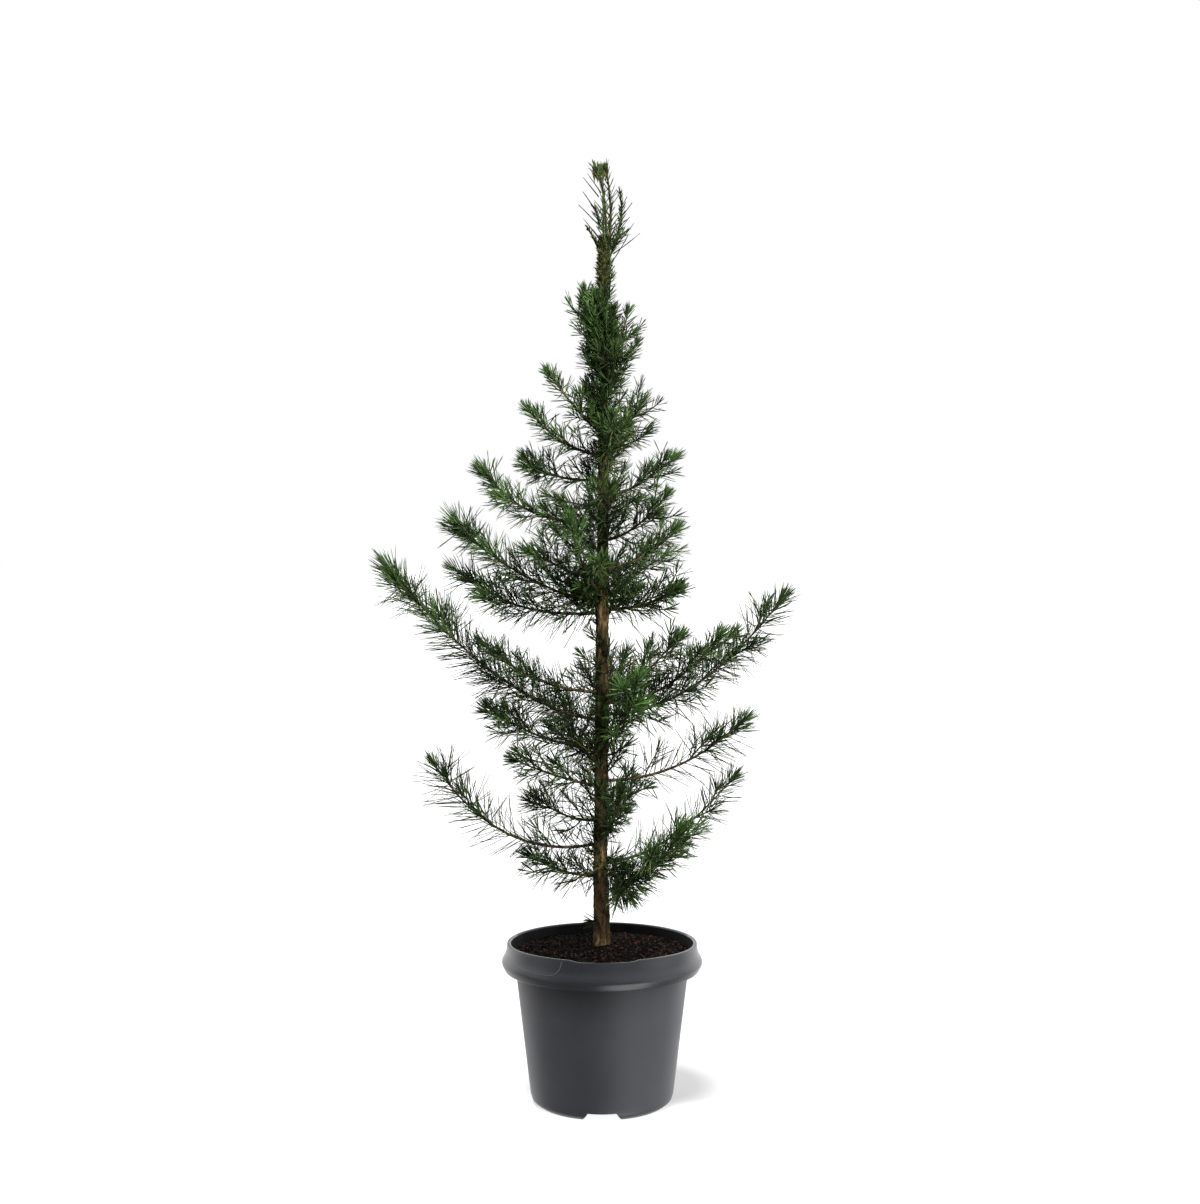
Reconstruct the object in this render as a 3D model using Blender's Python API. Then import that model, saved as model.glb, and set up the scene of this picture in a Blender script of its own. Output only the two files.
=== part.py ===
"""Young Aleppo pine, about 0.92 m tall, in a round grey plastic nursery pot.

Metres, +Z up. The origin is the centre of the pot's flat underside, and -Y is the
front. The tree is a tapering trunk set in the soil, main boughs that stop where
they enter their foliage, and masses of foliage. Each mass is one solid: a stem
that goes on along its limb's curve, side twigs, and larger-than-life needles. It
keeps to its own space, the part of the crown that is nearer to its limb than to
any other limb.
"""

import math
import random

import bmesh
import bpy
import numpy as np
from mathutils import Vector

SEED = 7
CLEARANCE = 0.0003  # gap that neighbouring pieces keep

# Pot: a thin turned shell with a rolled collar, a raised floor and a foot ring
POT_SIDES = 32
POT_HEIGHT = 0.156
POT_WALL = 0.0016
LIP_OUTER_RADIUS = 0.0930
COLLAR_WAIST_RADIUS = 0.0940
COLLAR_WAIST_HEIGHT = 0.1470
COLLAR_RADIUS = 0.0979
COLLAR_WIDEST_HEIGHT = 0.1355
COLLAR_EDGE_RADIUS = 0.0955
COLLAR_EDGE_HEIGHT = 0.1310
COLLAR_SKIRT = 0.0017
COLLAR_ROUND = 0.0010
BODY_TOP_RADIUS = 0.0848  # the body's outer radius level with the collar's edge
BODY_FOOT_RADIUS = 0.0692
BODY_FOOT_HEIGHT = 0.0110
FOOT_ROUND = 0.0092
RING_INNER_RADIUS = 0.0572
CHANNEL_HEIGHT = 0.0082
PAD_RADIUS = 0.0450
PAD_SLOPE = 0.0022
FLOOR = 0.0018
FLOOR_CORNER = 0.0040
RIM_ROUND = 0.0011
NOTCH_SHOULDER = 0.62  # share of a notch's height where its sides break
NOTCH_TOP_WIDTH = 0.0230
NOTCH_FOOT_WIDTH = 0.0420
NOTCH_HEIGHT = 0.0075
NOTCHES = 4

# Soil
SOIL_EDGE_HEIGHT = 0.1470
SOIL_CROWN_HEIGHT = 0.1545
SOIL_FLAT_RADIUS = 0.0160
SOIL_SHOULDER_RADIUS = 0.0480
SOIL_SHOULDER_HEIGHT = 0.1520

# Trunk: straight taper with a flare at the soil, and a slight lean
TRUNK_SIDES = 10
TRUNK_RINGS = 20
TRUNK_FOOT_RADIUS = 0.0068
TRUNK_TIP_RADIUS = 0.0025
TRUNK_TIP_HEIGHT = 0.8380
FLARE = 0.0024
FLARE_HEIGHT = 0.0100
FLARE_LOBES = 3
LEAN = (  # height, then how far the trunk's centre is from the pot's axis, right and back
    (0.150, 0.0030, 0.0000),
    (0.200, 0.0022, 0.0004),
    (0.265, 0.0004, 0.0008),
    (0.330, 0.0040, 0.0004),
    (0.430, 0.0040, -0.0006),
    (0.490, 0.0006, -0.0008),
    (0.600, 0.0012, 0.0000),
    (0.720, 0.0020, 0.0006),
    (0.838, 0.0010, 0.0000),
    (0.924, -0.0025, 0.0000),
)

# Limbs: side, root height on the trunk, bearing in degrees (0 right, 90 back), reach,
# rise, the share of the reach where it turns up, how high it is there as a share of
# the rise, and the bare share that is a bough of its own, if any
LIMBS = (
    ("left", 0.222, 168, 0.082, 0.024, 0.60, -0.25, 0.0),
    ("left", 0.254, 190, 0.174, 0.086, 0.60, -0.25, 0.36),
    ("left", 0.276, 158, 0.078, 0.026, 0.60, -0.25, 0.0),
    ("left", 0.308, 203, 0.106, 0.037, 0.50, 0.30, 0.0),
    ("left", 0.346, 168, 0.117, 0.050, 0.62, 0.00, 0.26),
    ("left", 0.374, 185, 0.228, 0.170, 0.44, 0.03, 0.36),
    ("left", 0.402, 203, 0.136, 0.058, 0.55, 0.00, 0.26),
    ("left", 0.480, 170, 0.141, 0.039, 0.64, -0.25, 0.26),
    ("left", 0.490, 191, 0.158, 0.086, 0.45, 0.08, 0.30),
    ("left", 0.510, 216, 0.094, 0.036, 0.50, 0.30, 0.0),
    ("left", 0.574, 178, 0.127, 0.056, 0.58, -0.35, 0.26),
    ("left", 0.610, 156, 0.091, 0.028, 0.70, -0.10, 0.0),
    ("left", 0.634, 190, 0.081, 0.054, 0.60, 0.10, 0.0),
    ("left", 0.654, 210, 0.068, 0.068, 0.50, 0.30, 0.0),
    ("left", 0.735, 184, 0.024, 0.060, 0.80, 0.20, 0.0),
    ("right", 0.208, 318, 0.110, 0.081, 0.50, 0.05, 0.20),
    ("right", 0.236, 10, 0.143, 0.092, 0.42, -0.05, 0.30),
    ("right", 0.315, 353, 0.145, 0.071, 0.55, 0.00, 0.36),
    ("right", 0.380, 357, 0.184, 0.130, 0.50, 0.00, 0.30),
    ("right", 0.392, 335, 0.128, 0.080, 0.54, 0.00, 0.26),
    ("right", 0.404, 24, 0.086, 0.062, 0.50, 0.05, 0.0),
    ("right", 0.484, 345, 0.083, 0.030, 0.60, -0.10, 0.0),
    ("right", 0.522, 14, 0.085, 0.048, 0.50, 0.05, 0.0),
    ("right", 0.551, 328, 0.080, 0.054, 0.50, 0.05, 0.0),
    ("right", 0.593, 4, 0.079, 0.048, 0.46, 0.10, 0.0),
    ("right", 0.646, 347, 0.046, 0.052, 0.46, 0.10, 0.0),
    ("right", 0.722, 2, 0.032, 0.056, 0.70, 0.20, 0.0),
    ("front", 0.230, 288, 0.090, -0.010, 0.50, -0.20, 0.0),
    ("front", 0.262, 284, 0.080, 0.062, 0.46, 0.10, 0.0),
    ("front", 0.355, 296, 0.080, 0.080, 0.46, 0.10, 0.0),
    ("front", 0.498, 252, 0.088, 0.088, 0.46, 0.10, 0.0),
    ("front", 0.560, 276, 0.074, 0.054, 0.46, 0.10, 0.0),
    ("front", 0.632, 278, 0.062, 0.048, 0.46, 0.10, 0.0),
    ("front", 0.700, 288, 0.042, 0.048, 0.46, 0.10, 0.0),
    ("back", 0.266, 62, 0.104, 0.044, 0.50, 0.05, 0.0),
    ("back", 0.325, 112, 0.124, 0.062, 0.50, 0.05, 0.0),
    ("back", 0.388, 80, 0.128, 0.048, 0.50, 0.05, 0.0),
    ("back", 0.496, 64, 0.112, 0.048, 0.50, 0.05, 0.0),
    ("back", 0.540, 116, 0.112, 0.058, 0.50, 0.05, 0.0),
    ("back", 0.616, 82, 0.084, 0.052, 0.46, 0.10, 0.0),
    ("back", 0.706, 104, 0.046, 0.050, 0.46, 0.10, 0.0),
)
LEADER_RISE = 0.062
SWAY = 0.03
BOUGH_ROOT_RADIUS = 0.0022
BOUGH_TIP_RADIUS = 0.0017
BOUGH_SIDES = 5

# Foliage
STEM_ROOT_RADIUS = 0.0017
STEM_TIP_RADIUS = 0.0013
TWIG_ROOT_RADIUS = 0.0015
TWIG_TIP_RADIUS = 0.0012
TWIG_SPACING = 0.042
MOST_TWIGS = 3
NEEDLE_RADIUS = 0.0008
NEEDLE_LENGTH = 0.036
FEWEST_NEEDLES = 4  # on a mass's main stem, and then some more for each metre of it
NEEDLES_PER_METRE = 30
NEEDLES_PER_TWIG = 3
NEEDLE_ROOM = 0.0030  # how much nearer to its own limb than to the next a needle stays
LIMB_ROOM = 0.0025
SOIL_ROOM = 0.0120
GOLDEN_TURN = math.radians(137.5)


# ---------------------------------------------------------------- common pieces


def add_object(name, bm, material, smooth_angle=0.0):
    """Put a finished mesh in the scene, shaded smooth up to an angle if one is given."""
    bmesh.ops.recalc_face_normals(bm, faces=bm.faces)
    if bm.calc_volume(signed=True) < 0.0:
        bmesh.ops.reverse_faces(bm, faces=bm.faces)
    mesh = bpy.data.meshes.new(name)
    bm.to_mesh(mesh)
    bm.free()
    if smooth_angle:
        mesh.shade_smooth()
        mesh.set_sharp_from_angle(angle=math.radians(smooth_angle))
    mesh.materials.append(material)
    thing = bpy.data.objects.new(name, mesh)
    bpy.context.scene.collection.objects.link(thing)
    return thing


def plain_material(name, colour, roughness):
    material = bpy.data.materials.new(name)
    material.use_nodes = True
    shader = material.node_tree.nodes["Principled BSDF"]
    shader.inputs["Base Color"].default_value = (*colour, 1.0)
    shader.inputs["Roughness"].default_value = roughness
    shader.inputs["Metallic"].default_value = 0.0
    return material


def turned_mesh(outline, sides):
    """Spin a closed outline of (radius, height) points round the Z axis."""
    bm = bmesh.new()
    verts = [bm.verts.new((radius, 0.0, height)) for radius, height in outline]
    edges = [bm.edges.new((a, b)) for a, b in zip(verts, verts[1:])]
    bmesh.ops.spin(
        bm,
        geom=verts + edges,
        cent=(0.0, 0.0, 0.0),
        axis=(0.0, 0.0, 1.0),
        angle=math.tau,
        steps=sides,
        use_merge=True,
    )
    bmesh.ops.remove_doubles(bm, verts=bm.verts, dist=0.00001)
    return bm


def across(direction, upright):
    """Two unit vectors square to a direction."""
    level = Vector((0.0, 1.0, 0.0)) if upright else Vector((0.0, 0.0, 1.0))
    first = direction.cross(level).normalized()
    return first, first.cross(direction).normalized()


def tube_mesh(centres, radii, sides):
    """A tapering limb through the given centres, closed by a flat face at each end."""
    bm = bmesh.new()
    upright = abs((centres[-1] - centres[0]).normalized().z) > 0.8
    rings = []
    for i, (centre, radius) in enumerate(zip(centres, radii)):
        before = centres[max(i - 1, 0)]
        after = centres[min(i + 1, len(centres) - 1)]
        first, second = across((after - before).normalized(), upright)
        ring = []
        for k in range(sides):
            turn = math.tau * k / sides
            offset = first * math.cos(turn) + second * math.sin(turn)
            ring.append(bm.verts.new(centre + offset * radius))
        rings.append(ring)
    for low, high in zip(rings, rings[1:]):
        for k in range(sides):
            n = (k + 1) % sides
            bm.faces.new((low[k], low[n], high[n], high[k]))
    bm.faces.new(rings[0][::-1])
    bm.faces.new(rings[-1])
    return bm


def needle_mesh(root, tip):
    """One needle: a slim three-sided spike whose root lies on its stem's centre line."""
    bm = bmesh.new()
    direction = (tip - root).normalized()
    first, second = across(direction, abs(direction.z) > 0.8)
    ring = []
    for k in range(3):
        turn = math.tau * k / 3
        offset = first * math.cos(turn) + second * math.sin(turn)
        ring.append(bm.verts.new(root + offset * NEEDLE_RADIUS))
    point = bm.verts.new(tip)
    for k in range(3):
        bm.faces.new((ring[k], ring[(k + 1) % 3], point))
    bm.faces.new(ring[::-1])
    return bm


# ---------------------------------------------------------------- pot


def body_radius(height):
    """Outer radius of the pot's tapered wall."""
    slope = (BODY_TOP_RADIUS - BODY_FOOT_RADIUS) / (COLLAR_EDGE_HEIGHT - BODY_FOOT_HEIGHT)
    return BODY_FOOT_RADIUS + slope * (height - BODY_FOOT_HEIGHT)


def pot_inner_radius(height):
    """Inner radius of the wall, which widens a little under the lip."""
    straight = body_radius(height) - POT_WALL
    flare = max(0.0, height - COLLAR_EDGE_HEIGHT) * 0.12
    return straight + flare


def pot_outline():
    """The shell's cut outline from the centre of the underside round to the floor's top."""
    outline = [
        (0.0, 0.0),
        (PAD_RADIUS, 0.0),
        (PAD_RADIUS + PAD_SLOPE, CHANNEL_HEIGHT),
        (RING_INNER_RADIUS - PAD_SLOPE / 2, CHANNEL_HEIGHT),
        (RING_INNER_RADIUS, 0.0),
        (BODY_FOOT_RADIUS - FOOT_ROUND, 0.0),
    ]
    for step in range(1, 4):
        turn = math.radians(30 * step)
        outline.append(
            (
                BODY_FOOT_RADIUS - FOOT_ROUND + FOOT_ROUND * math.sin(turn),
                BODY_FOOT_HEIGHT * (1.0 - math.cos(turn)),
            )
        )
    channel_top = POT_HEIGHT - 3.5 * COLLAR_SKIRT
    outline += [
        (body_radius(COLLAR_EDGE_HEIGHT), COLLAR_EDGE_HEIGHT),
        (pot_inner_radius(channel_top) + POT_WALL, channel_top),
        (LIP_OUTER_RADIUS - COLLAR_SKIRT, channel_top),
        (COLLAR_WAIST_RADIUS - COLLAR_SKIRT, COLLAR_WAIST_HEIGHT),
        (COLLAR_RADIUS - COLLAR_SKIRT, COLLAR_WIDEST_HEIGHT),
        (COLLAR_EDGE_RADIUS - COLLAR_SKIRT, COLLAR_EDGE_HEIGHT),
        (COLLAR_EDGE_RADIUS, COLLAR_EDGE_HEIGHT),
        (COLLAR_RADIUS - COLLAR_ROUND / 2, COLLAR_WIDEST_HEIGHT - 2 * COLLAR_ROUND),
        (COLLAR_RADIUS, COLLAR_WIDEST_HEIGHT),
        (COLLAR_RADIUS - COLLAR_ROUND, COLLAR_WIDEST_HEIGHT + 4 * COLLAR_ROUND),
        (COLLAR_WAIST_RADIUS + COLLAR_ROUND, COLLAR_WAIST_HEIGHT - 4 * COLLAR_ROUND),
        (COLLAR_WAIST_RADIUS, COLLAR_WAIST_HEIGHT),
        (LIP_OUTER_RADIUS, POT_HEIGHT - RIM_ROUND),
        (LIP_OUTER_RADIUS - RIM_ROUND, POT_HEIGHT),
        (pot_inner_radius(POT_HEIGHT) + RIM_ROUND, POT_HEIGHT),
        (pot_inner_radius(POT_HEIGHT), POT_HEIGHT - RIM_ROUND),
        (pot_inner_radius(COLLAR_EDGE_HEIGHT), COLLAR_EDGE_HEIGHT),
    ]
    floor_top = CHANNEL_HEIGHT + FLOOR
    outline += [
        (pot_inner_radius(floor_top + FLOOR_CORNER), floor_top + FLOOR_CORNER),
        (pot_inner_radius(floor_top) - FLOOR_CORNER, floor_top),
        (PAD_RADIUS + PAD_SLOPE - FLOOR, floor_top),
        (PAD_RADIUS - FLOOR, FLOOR),
        (0.0, FLOOR),
    ]
    return outline


def notch_cutter(turn):
    """A wedge-sided block that cuts one drainage notch through the foot ring."""
    half_top = NOTCH_TOP_WIDTH / 2
    half_foot = NOTCH_FOOT_WIDTH / 2
    shoulder = (half_foot + half_top) / 2
    outline = [
        (-half_foot - RIM_ROUND, -RIM_ROUND),
        (-half_foot, 0.0),
        (-shoulder, NOTCH_HEIGHT * NOTCH_SHOULDER),
        (-half_top, NOTCH_HEIGHT),
    ]
    outline += [(-x, z) for x, z in reversed(outline)]
    bm = bmesh.new()
    near = RING_INNER_RADIUS - 2 * PAD_SLOPE
    far = BODY_FOOT_RADIUS + FOOT_ROUND
    cut = bm.faces.new([bm.verts.new((x, -near, z)) for x, z in outline])
    made = bmesh.ops.extrude_face_region(bm, geom=[cut])
    moved = [v for v in made["geom"] if isinstance(v, bmesh.types.BMVert)]
    bmesh.ops.translate(bm, verts=moved, vec=(0.0, near - far, 0.0))
    for vert in bm.verts:
        x, y = vert.co.x, vert.co.y
        vert.co.x = x * math.cos(turn) - y * math.sin(turn)
        vert.co.y = x * math.sin(turn) + y * math.cos(turn)
    return bm


def build_pot():
    plastic = plain_material("pot_plastic", (0.060, 0.061, 0.068), 0.45)
    pot = add_object("pot", turned_mesh(pot_outline(), POT_SIDES), plastic, 40)
    for k in range(NOTCHES):
        cutter = add_object(f"notch_{k + 1}", notch_cutter(math.tau * k / NOTCHES), plastic)
        cutter.hide_render = True
        cutter.display_type = "WIRE"
        cut = pot.modifiers.new(f"notch_{k + 1}", "BOOLEAN")
        cut.operation = "DIFFERENCE"
        cut.object = cutter
    return pot


# ---------------------------------------------------------------- soil


def build_soil():
    """The root ball's soil: it fills the shell and mounds slightly towards the trunk."""
    earth = plain_material("soil", (0.022, 0.013, 0.009), 0.95)
    floor_top = CHANNEL_HEIGHT + FLOOR + CLEARANCE
    side = CLEARANCE * 1.5
    outline = [
        (0.0, FLOOR + CLEARANCE),
        (PAD_RADIUS - FLOOR - side, FLOOR + CLEARANCE),
        (PAD_RADIUS + PAD_SLOPE - FLOOR - side, floor_top),
        (pot_inner_radius(floor_top) - FLOOR_CORNER - side, floor_top),
        (pot_inner_radius(floor_top + FLOOR_CORNER) - side, floor_top + FLOOR_CORNER),
        (pot_inner_radius(COLLAR_EDGE_HEIGHT) - side, COLLAR_EDGE_HEIGHT),
        (pot_inner_radius(SOIL_EDGE_HEIGHT) - side, SOIL_EDGE_HEIGHT),
        (SOIL_SHOULDER_RADIUS, SOIL_SHOULDER_HEIGHT),
        (SOIL_FLAT_RADIUS, SOIL_CROWN_HEIGHT),
        (0.0, SOIL_CROWN_HEIGHT),
    ]
    return add_object("soil", turned_mesh(outline, POT_SIDES), earth, 40)


# ---------------------------------------------------------------- trunk


def trunk_centre(height):
    """Centre of the trunk, or of the leader above it, at a height."""
    low, high = LEAN[0], LEAN[-1]
    for low, high in zip(LEAN, LEAN[1:]):
        if height <= high[0]:
            break
    share = min(1.0, max(0.0, (height - low[0]) / (high[0] - low[0])))
    ease = share * share * (3.0 - 2.0 * share)
    return Vector(
        (low[1] + (high[1] - low[1]) * ease, low[2] + (high[2] - low[2]) * ease, height)
    )


def trunk_radius(height):
    foot = SOIL_CROWN_HEIGHT + CLEARANCE
    share = (height - foot) / (TRUNK_TIP_HEIGHT - foot)
    taper = TRUNK_FOOT_RADIUS + (TRUNK_TIP_RADIUS - TRUNK_FOOT_RADIUS) * share
    return taper + FLARE * math.exp(-(height - foot) / FLARE_HEIGHT)


def build_trunk():
    """The trunk, cut flat where it meets the soil and at the fork of its leader."""
    bark = plain_material("bark", (0.110, 0.075, 0.042), 0.85)
    foot = SOIL_CROWN_HEIGHT + CLEARANCE
    heights = [foot + FLARE_HEIGHT * step for step in (0.0, 0.7, 1.6, 3.2)]
    for k in range(1, TRUNK_RINGS + 1):
        heights.append(heights[3] + (TRUNK_TIP_HEIGHT - heights[3]) * k / TRUNK_RINGS)
    bm = bmesh.new()
    rings = []
    for height in heights:
        centre = trunk_centre(height)
        radius = trunk_radius(height)
        flare = math.exp(-(height - foot) / FLARE_HEIGHT)
        ring = []
        for k in range(TRUNK_SIDES):
            turn = math.tau * k / TRUNK_SIDES
            reach = radius * (1.0 + 0.10 * flare * math.cos(FLARE_LOBES * turn + 0.6))
            offset = Vector((math.cos(turn) * reach, math.sin(turn) * reach, 0.0))
            ring.append(bm.verts.new(centre + offset))
        rings.append(ring)
    for low, high in zip(rings, rings[1:]):
        for k in range(TRUNK_SIDES):
            n = (k + 1) % TRUNK_SIDES
            bm.faces.new((low[k], low[n], high[n], high[k]))
    bm.faces.new(rings[0][::-1])
    bm.faces.new(rings[-1])
    return add_object("trunk", bm, bark, 50)


# ---------------------------------------------------------------- limbs


class Limb:
    """A limb's curve: nearly level as it leaves the trunk, then turning up."""

    twig_angle = math.radians(46)

    def __init__(self, name, row, seed):
        root_height, bearing, reach, rise, turn, lift, bare = row
        rng = random.Random(SEED * 1000 + seed)
        self.name = name
        self.seed = seed
        self.root = trunk_centre(root_height)
        self.out = Vector((math.cos(math.radians(bearing)), math.sin(math.radians(bearing)), 0.0))
        self.side = Vector((-self.out.y, self.out.x, 0.0))
        self.reach = reach
        self.rise = rise
        self.bare = bare
        self.turn = turn
        self.lift = lift
        self.sway = reach * rng.uniform(-SWAY, SWAY)
        self.start = self.share_at_trunk(BOUGH_ROOT_RADIUS if bare else STEM_ROOT_RADIUS)

    def point(self, t):
        out = self.reach * (2.0 * (1.0 - t) * t * self.turn + t * t)
        up = self.rise * (2.0 * (1.0 - t) * t * self.lift + t * t)
        aside = self.sway * math.sin(math.pi * t)
        return self.root + self.out * out + self.side * aside + Vector((0.0, 0.0, up))

    def direction(self, t):
        return (self.point(min(1.0, t + 0.01)) - self.point(max(0.0, t - 0.01))).normalized()

    def share_at_trunk(self, radius):
        """How far along the curve the limb's root face stands just clear of the bark."""
        t = 0.0
        while True:
            here = self.point(t)
            lean = radius * abs(self.direction(t).z)
            away = (here - trunk_centre(here.z)).xy.length
            if away >= trunk_radius(here.z) + CLEARANCE + lean:
                return t
            t += 0.0005

    def share_after(self, t, gap):
        """The share reached by going a small distance on along the curve."""
        start = self.point(t)
        while (self.point(t) - start).length < gap:
            t += 0.0002
        return t

    def length(self, t0, t1):
        steps = 12
        shares = [t0 + (t1 - t0) * k / steps for k in range(steps + 1)]
        places = [self.point(t) for t in shares]
        return sum((b - a).length for a, b in zip(places, places[1:]))


class Leader(Limb):
    """The topmost shoot, which carries on from the trunk's tip."""

    twig_angle = math.radians(26)

    def __init__(self, name, seed):
        self.name = name
        self.seed = seed
        self.rise = LEADER_RISE
        self.bare = 0.0
        self.start = 0.0

    def point(self, t):
        return trunk_centre(TRUNK_TIP_HEIGHT + CLEARANCE + self.rise * t)


def all_limbs():
    counts = {}
    limbs = []
    for seed, (side, *row) in enumerate(LIMBS):
        counts[side] = counts.get(side, 0) + 1
        limbs.append(Limb(f"{side}_{counts[side]}", row, seed))
    limbs.append(Leader("leader", len(LIMBS)))
    return limbs


def build_bough(limb, bark):
    """The bare inner stretch of a main limb, tapering to the flat face where foliage starts."""
    steps = 5
    shares = [limb.start + (limb.bare - limb.start) * k / steps for k in range(steps + 1)]
    centres = [limb.point(t) for t in shares]
    change = BOUGH_TIP_RADIUS - BOUGH_ROOT_RADIUS
    radii = [BOUGH_ROOT_RADIUS + change * k / steps for k in range(steps + 1)]
    return add_object(f"bough_{limb.name}", tube_mesh(centres, radii, BOUGH_SIDES), bark, 70)


# ---------------------------------------------------------------- foliage


class Crown:
    """Where every limb runs, to tell which limb a place in the crown belongs to."""

    def __init__(self, limbs):
        places, owners, bare = [], [], []
        for index, limb in enumerate(limbs):
            for k in range(31):
                t = limb.start + (1.0 - limb.start) * k / 30
                places.append(limb.point(t)[:])
                owners.append(index)
                bare.append(t < limb.bare)
        self.places = np.array(places)
        self.owners = np.array(owners)
        self.bare = np.array(bare)
        heights = np.arange(SOIL_CROWN_HEIGHT, TRUNK_TIP_HEIGHT, 0.004)
        self.trunk = np.array([trunk_centre(h)[:] for h in heights])
        self.trunk_radii = np.array([trunk_radius(h) for h in heights])

    def free(self, index, points):
        """Whether points keep to the limb's own space, clear of bark and soil."""
        points = np.array([p[:] for p in points])
        if (points[:, 2] < POT_HEIGHT + SOIL_ROOM).any():
            return False
        from_trunk = np.linalg.norm(points[:, None] - self.trunk[None], axis=2) - self.trunk_radii
        if from_trunk.min() < LIMB_ROOM:
            return False
        apart = np.linalg.norm(points[:, None] - self.places[None], axis=2)
        mine = self.owners == index
        if (apart[:, mine].min(axis=1) + NEEDLE_ROOM > apart[:, ~mine].min(axis=1)).any():
            return False
        wood = mine & self.bare
        return not wood.any() or apart[:, wood].min() > BOUGH_ROOT_RADIUS + LIMB_ROOM


def along(curve, share):
    """The place and the direction at a share of a curve given by its points."""
    spot = share * (len(curve) - 1)
    k = min(int(spot), len(curve) - 2)
    here = curve[k].lerp(curve[k + 1], spot - k)
    return here, (curve[k + 1] - curve[k]).normalized()


def turned_off(direction, turn, angle):
    """A direction at an angle to another, turned round it from its upper side."""
    first, second = across(direction, abs(direction.z) > 0.8)
    aside = second * math.cos(turn) + first * math.sin(turn)
    return (direction * math.cos(angle) + aside * math.sin(angle)).normalized()


def twig_curves(limb, index, stem, crown, rng):
    """Side twigs by turns left and right along the stem, each kept to the limb's space."""
    length = limb.length(limb.start, 1.0)
    count = min(MOST_TWIGS, int(length / TWIG_SPACING))
    curves = []
    for k in range(count):
        share = 0.22 + 0.56 * (k + rng.uniform(0.2, 0.8)) / count
        root, direction = along(stem, share)
        turn = math.radians(rng.uniform(60, 100)) * (1 if k % 2 else -1)
        reach = (0.022 + 0.30 * length * (1.0 - share)) * rng.uniform(0.85, 1.1)
        for part in (1.0, 0.6):
            heading = turned_off(direction, turn, limb.twig_angle)
            middle = root + heading * reach * part * 0.5
            ending = middle + (heading + direction * 0.35).normalized() * reach * part * 0.5
            curve = [root, middle, ending]
            if crown.free(index, [middle, ending, ending + (ending - middle) * 0.2]):
                curves.append(curve)
                break
    return curves


def needle_ends(curve, count, index, crown, rng):
    """Roots and tips of a spray of needles, spread round a curve and closing at its tip."""
    ends = []
    turn = rng.uniform(0.0, math.tau)
    for k in range(count):
        share = (k + 0.5) / count
        turn += GOLDEN_TURN
        root, direction = along(curve, 0.10 + 0.88 * share)
        angle = math.radians(56 - 34 * share + rng.uniform(-6, 6))
        heading = turned_off(direction, turn, angle)
        for part in (1.0, 0.7):
            tip = root + heading * NEEDLE_LENGTH * part * rng.uniform(0.88, 1.08)
            spots = [root.lerp(tip, s) for s in (0.15, 0.3, 0.45, 0.6, 0.75, 0.9, 1.0)]
            if crown.free(index, spots):
                ends.append((root, tip))
                break
    return ends


def build_foliage(limb, index, crown, green):
    """One mass: stem, twigs and needles made one closed solid by a union."""
    rng = random.Random(SEED * 100 + limb.seed)
    begin = limb.share_after(limb.bare, CLEARANCE) if limb.bare else limb.start
    length = limb.length(begin, 1.0)
    steps = max(3, min(7, round(length / 0.02)))
    stem = [limb.point(begin + (1.0 - begin) * k / steps) for k in range(steps + 1)]
    change = STEM_TIP_RADIUS - STEM_ROOT_RADIUS
    radii = [STEM_ROOT_RADIUS + change * k / steps for k in range(steps + 1)]
    mass = add_object(f"foliage_{limb.name}", tube_mesh(stem, radii, 3), green)

    spray = bpy.data.collections.new(f"spray_{limb.name}")
    bpy.context.scene.collection.children.link(spray)
    curves = twig_curves(limb, index, stem, crown, rng)
    twig_radii = [TWIG_ROOT_RADIUS, TWIG_TIP_RADIUS, TWIG_TIP_RADIUS]
    meshes = [tube_mesh(curve, twig_radii, 3) for curve in curves]
    count = FEWEST_NEEDLES + int(length * NEEDLES_PER_METRE)
    needles = needle_ends(stem, count, index, crown, rng)
    for curve in curves:
        needles += needle_ends(curve, NEEDLES_PER_TWIG, index, crown, rng)
    meshes += [needle_mesh(root, tip) for root, tip in needles]
    for bm in meshes:
        piece = add_object("spray_piece", bm, green)
        bpy.context.scene.collection.objects.unlink(piece)
        spray.objects.link(piece)

    union = mass.modifiers.new("union", "BOOLEAN")
    union.operation = "UNION"
    union.operand_type = "COLLECTION"
    union.collection = spray
    bpy.context.view_layer.objects.active = mass
    bpy.ops.object.modifier_apply(modifier=union.name)
    for piece in list(spray.objects):
        bpy.data.objects.remove(piece)
    bpy.data.collections.remove(spray)
    return mass


def build_tree():
    bark = plain_material("bough_bark", (0.090, 0.065, 0.035), 0.85)
    green = plain_material("needles", (0.045, 0.080, 0.030), 0.60)
    build_trunk()
    limbs = all_limbs()
    crown = Crown(limbs)
    for index, limb in enumerate(limbs):
        if limb.bare:
            build_bough(limb, bark)
        build_foliage(limb, index, crown, green)


for thing in list(bpy.data.objects):
    bpy.data.objects.remove(thing)
build_pot()
build_soil()
build_tree()
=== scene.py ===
import math
import random

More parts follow.
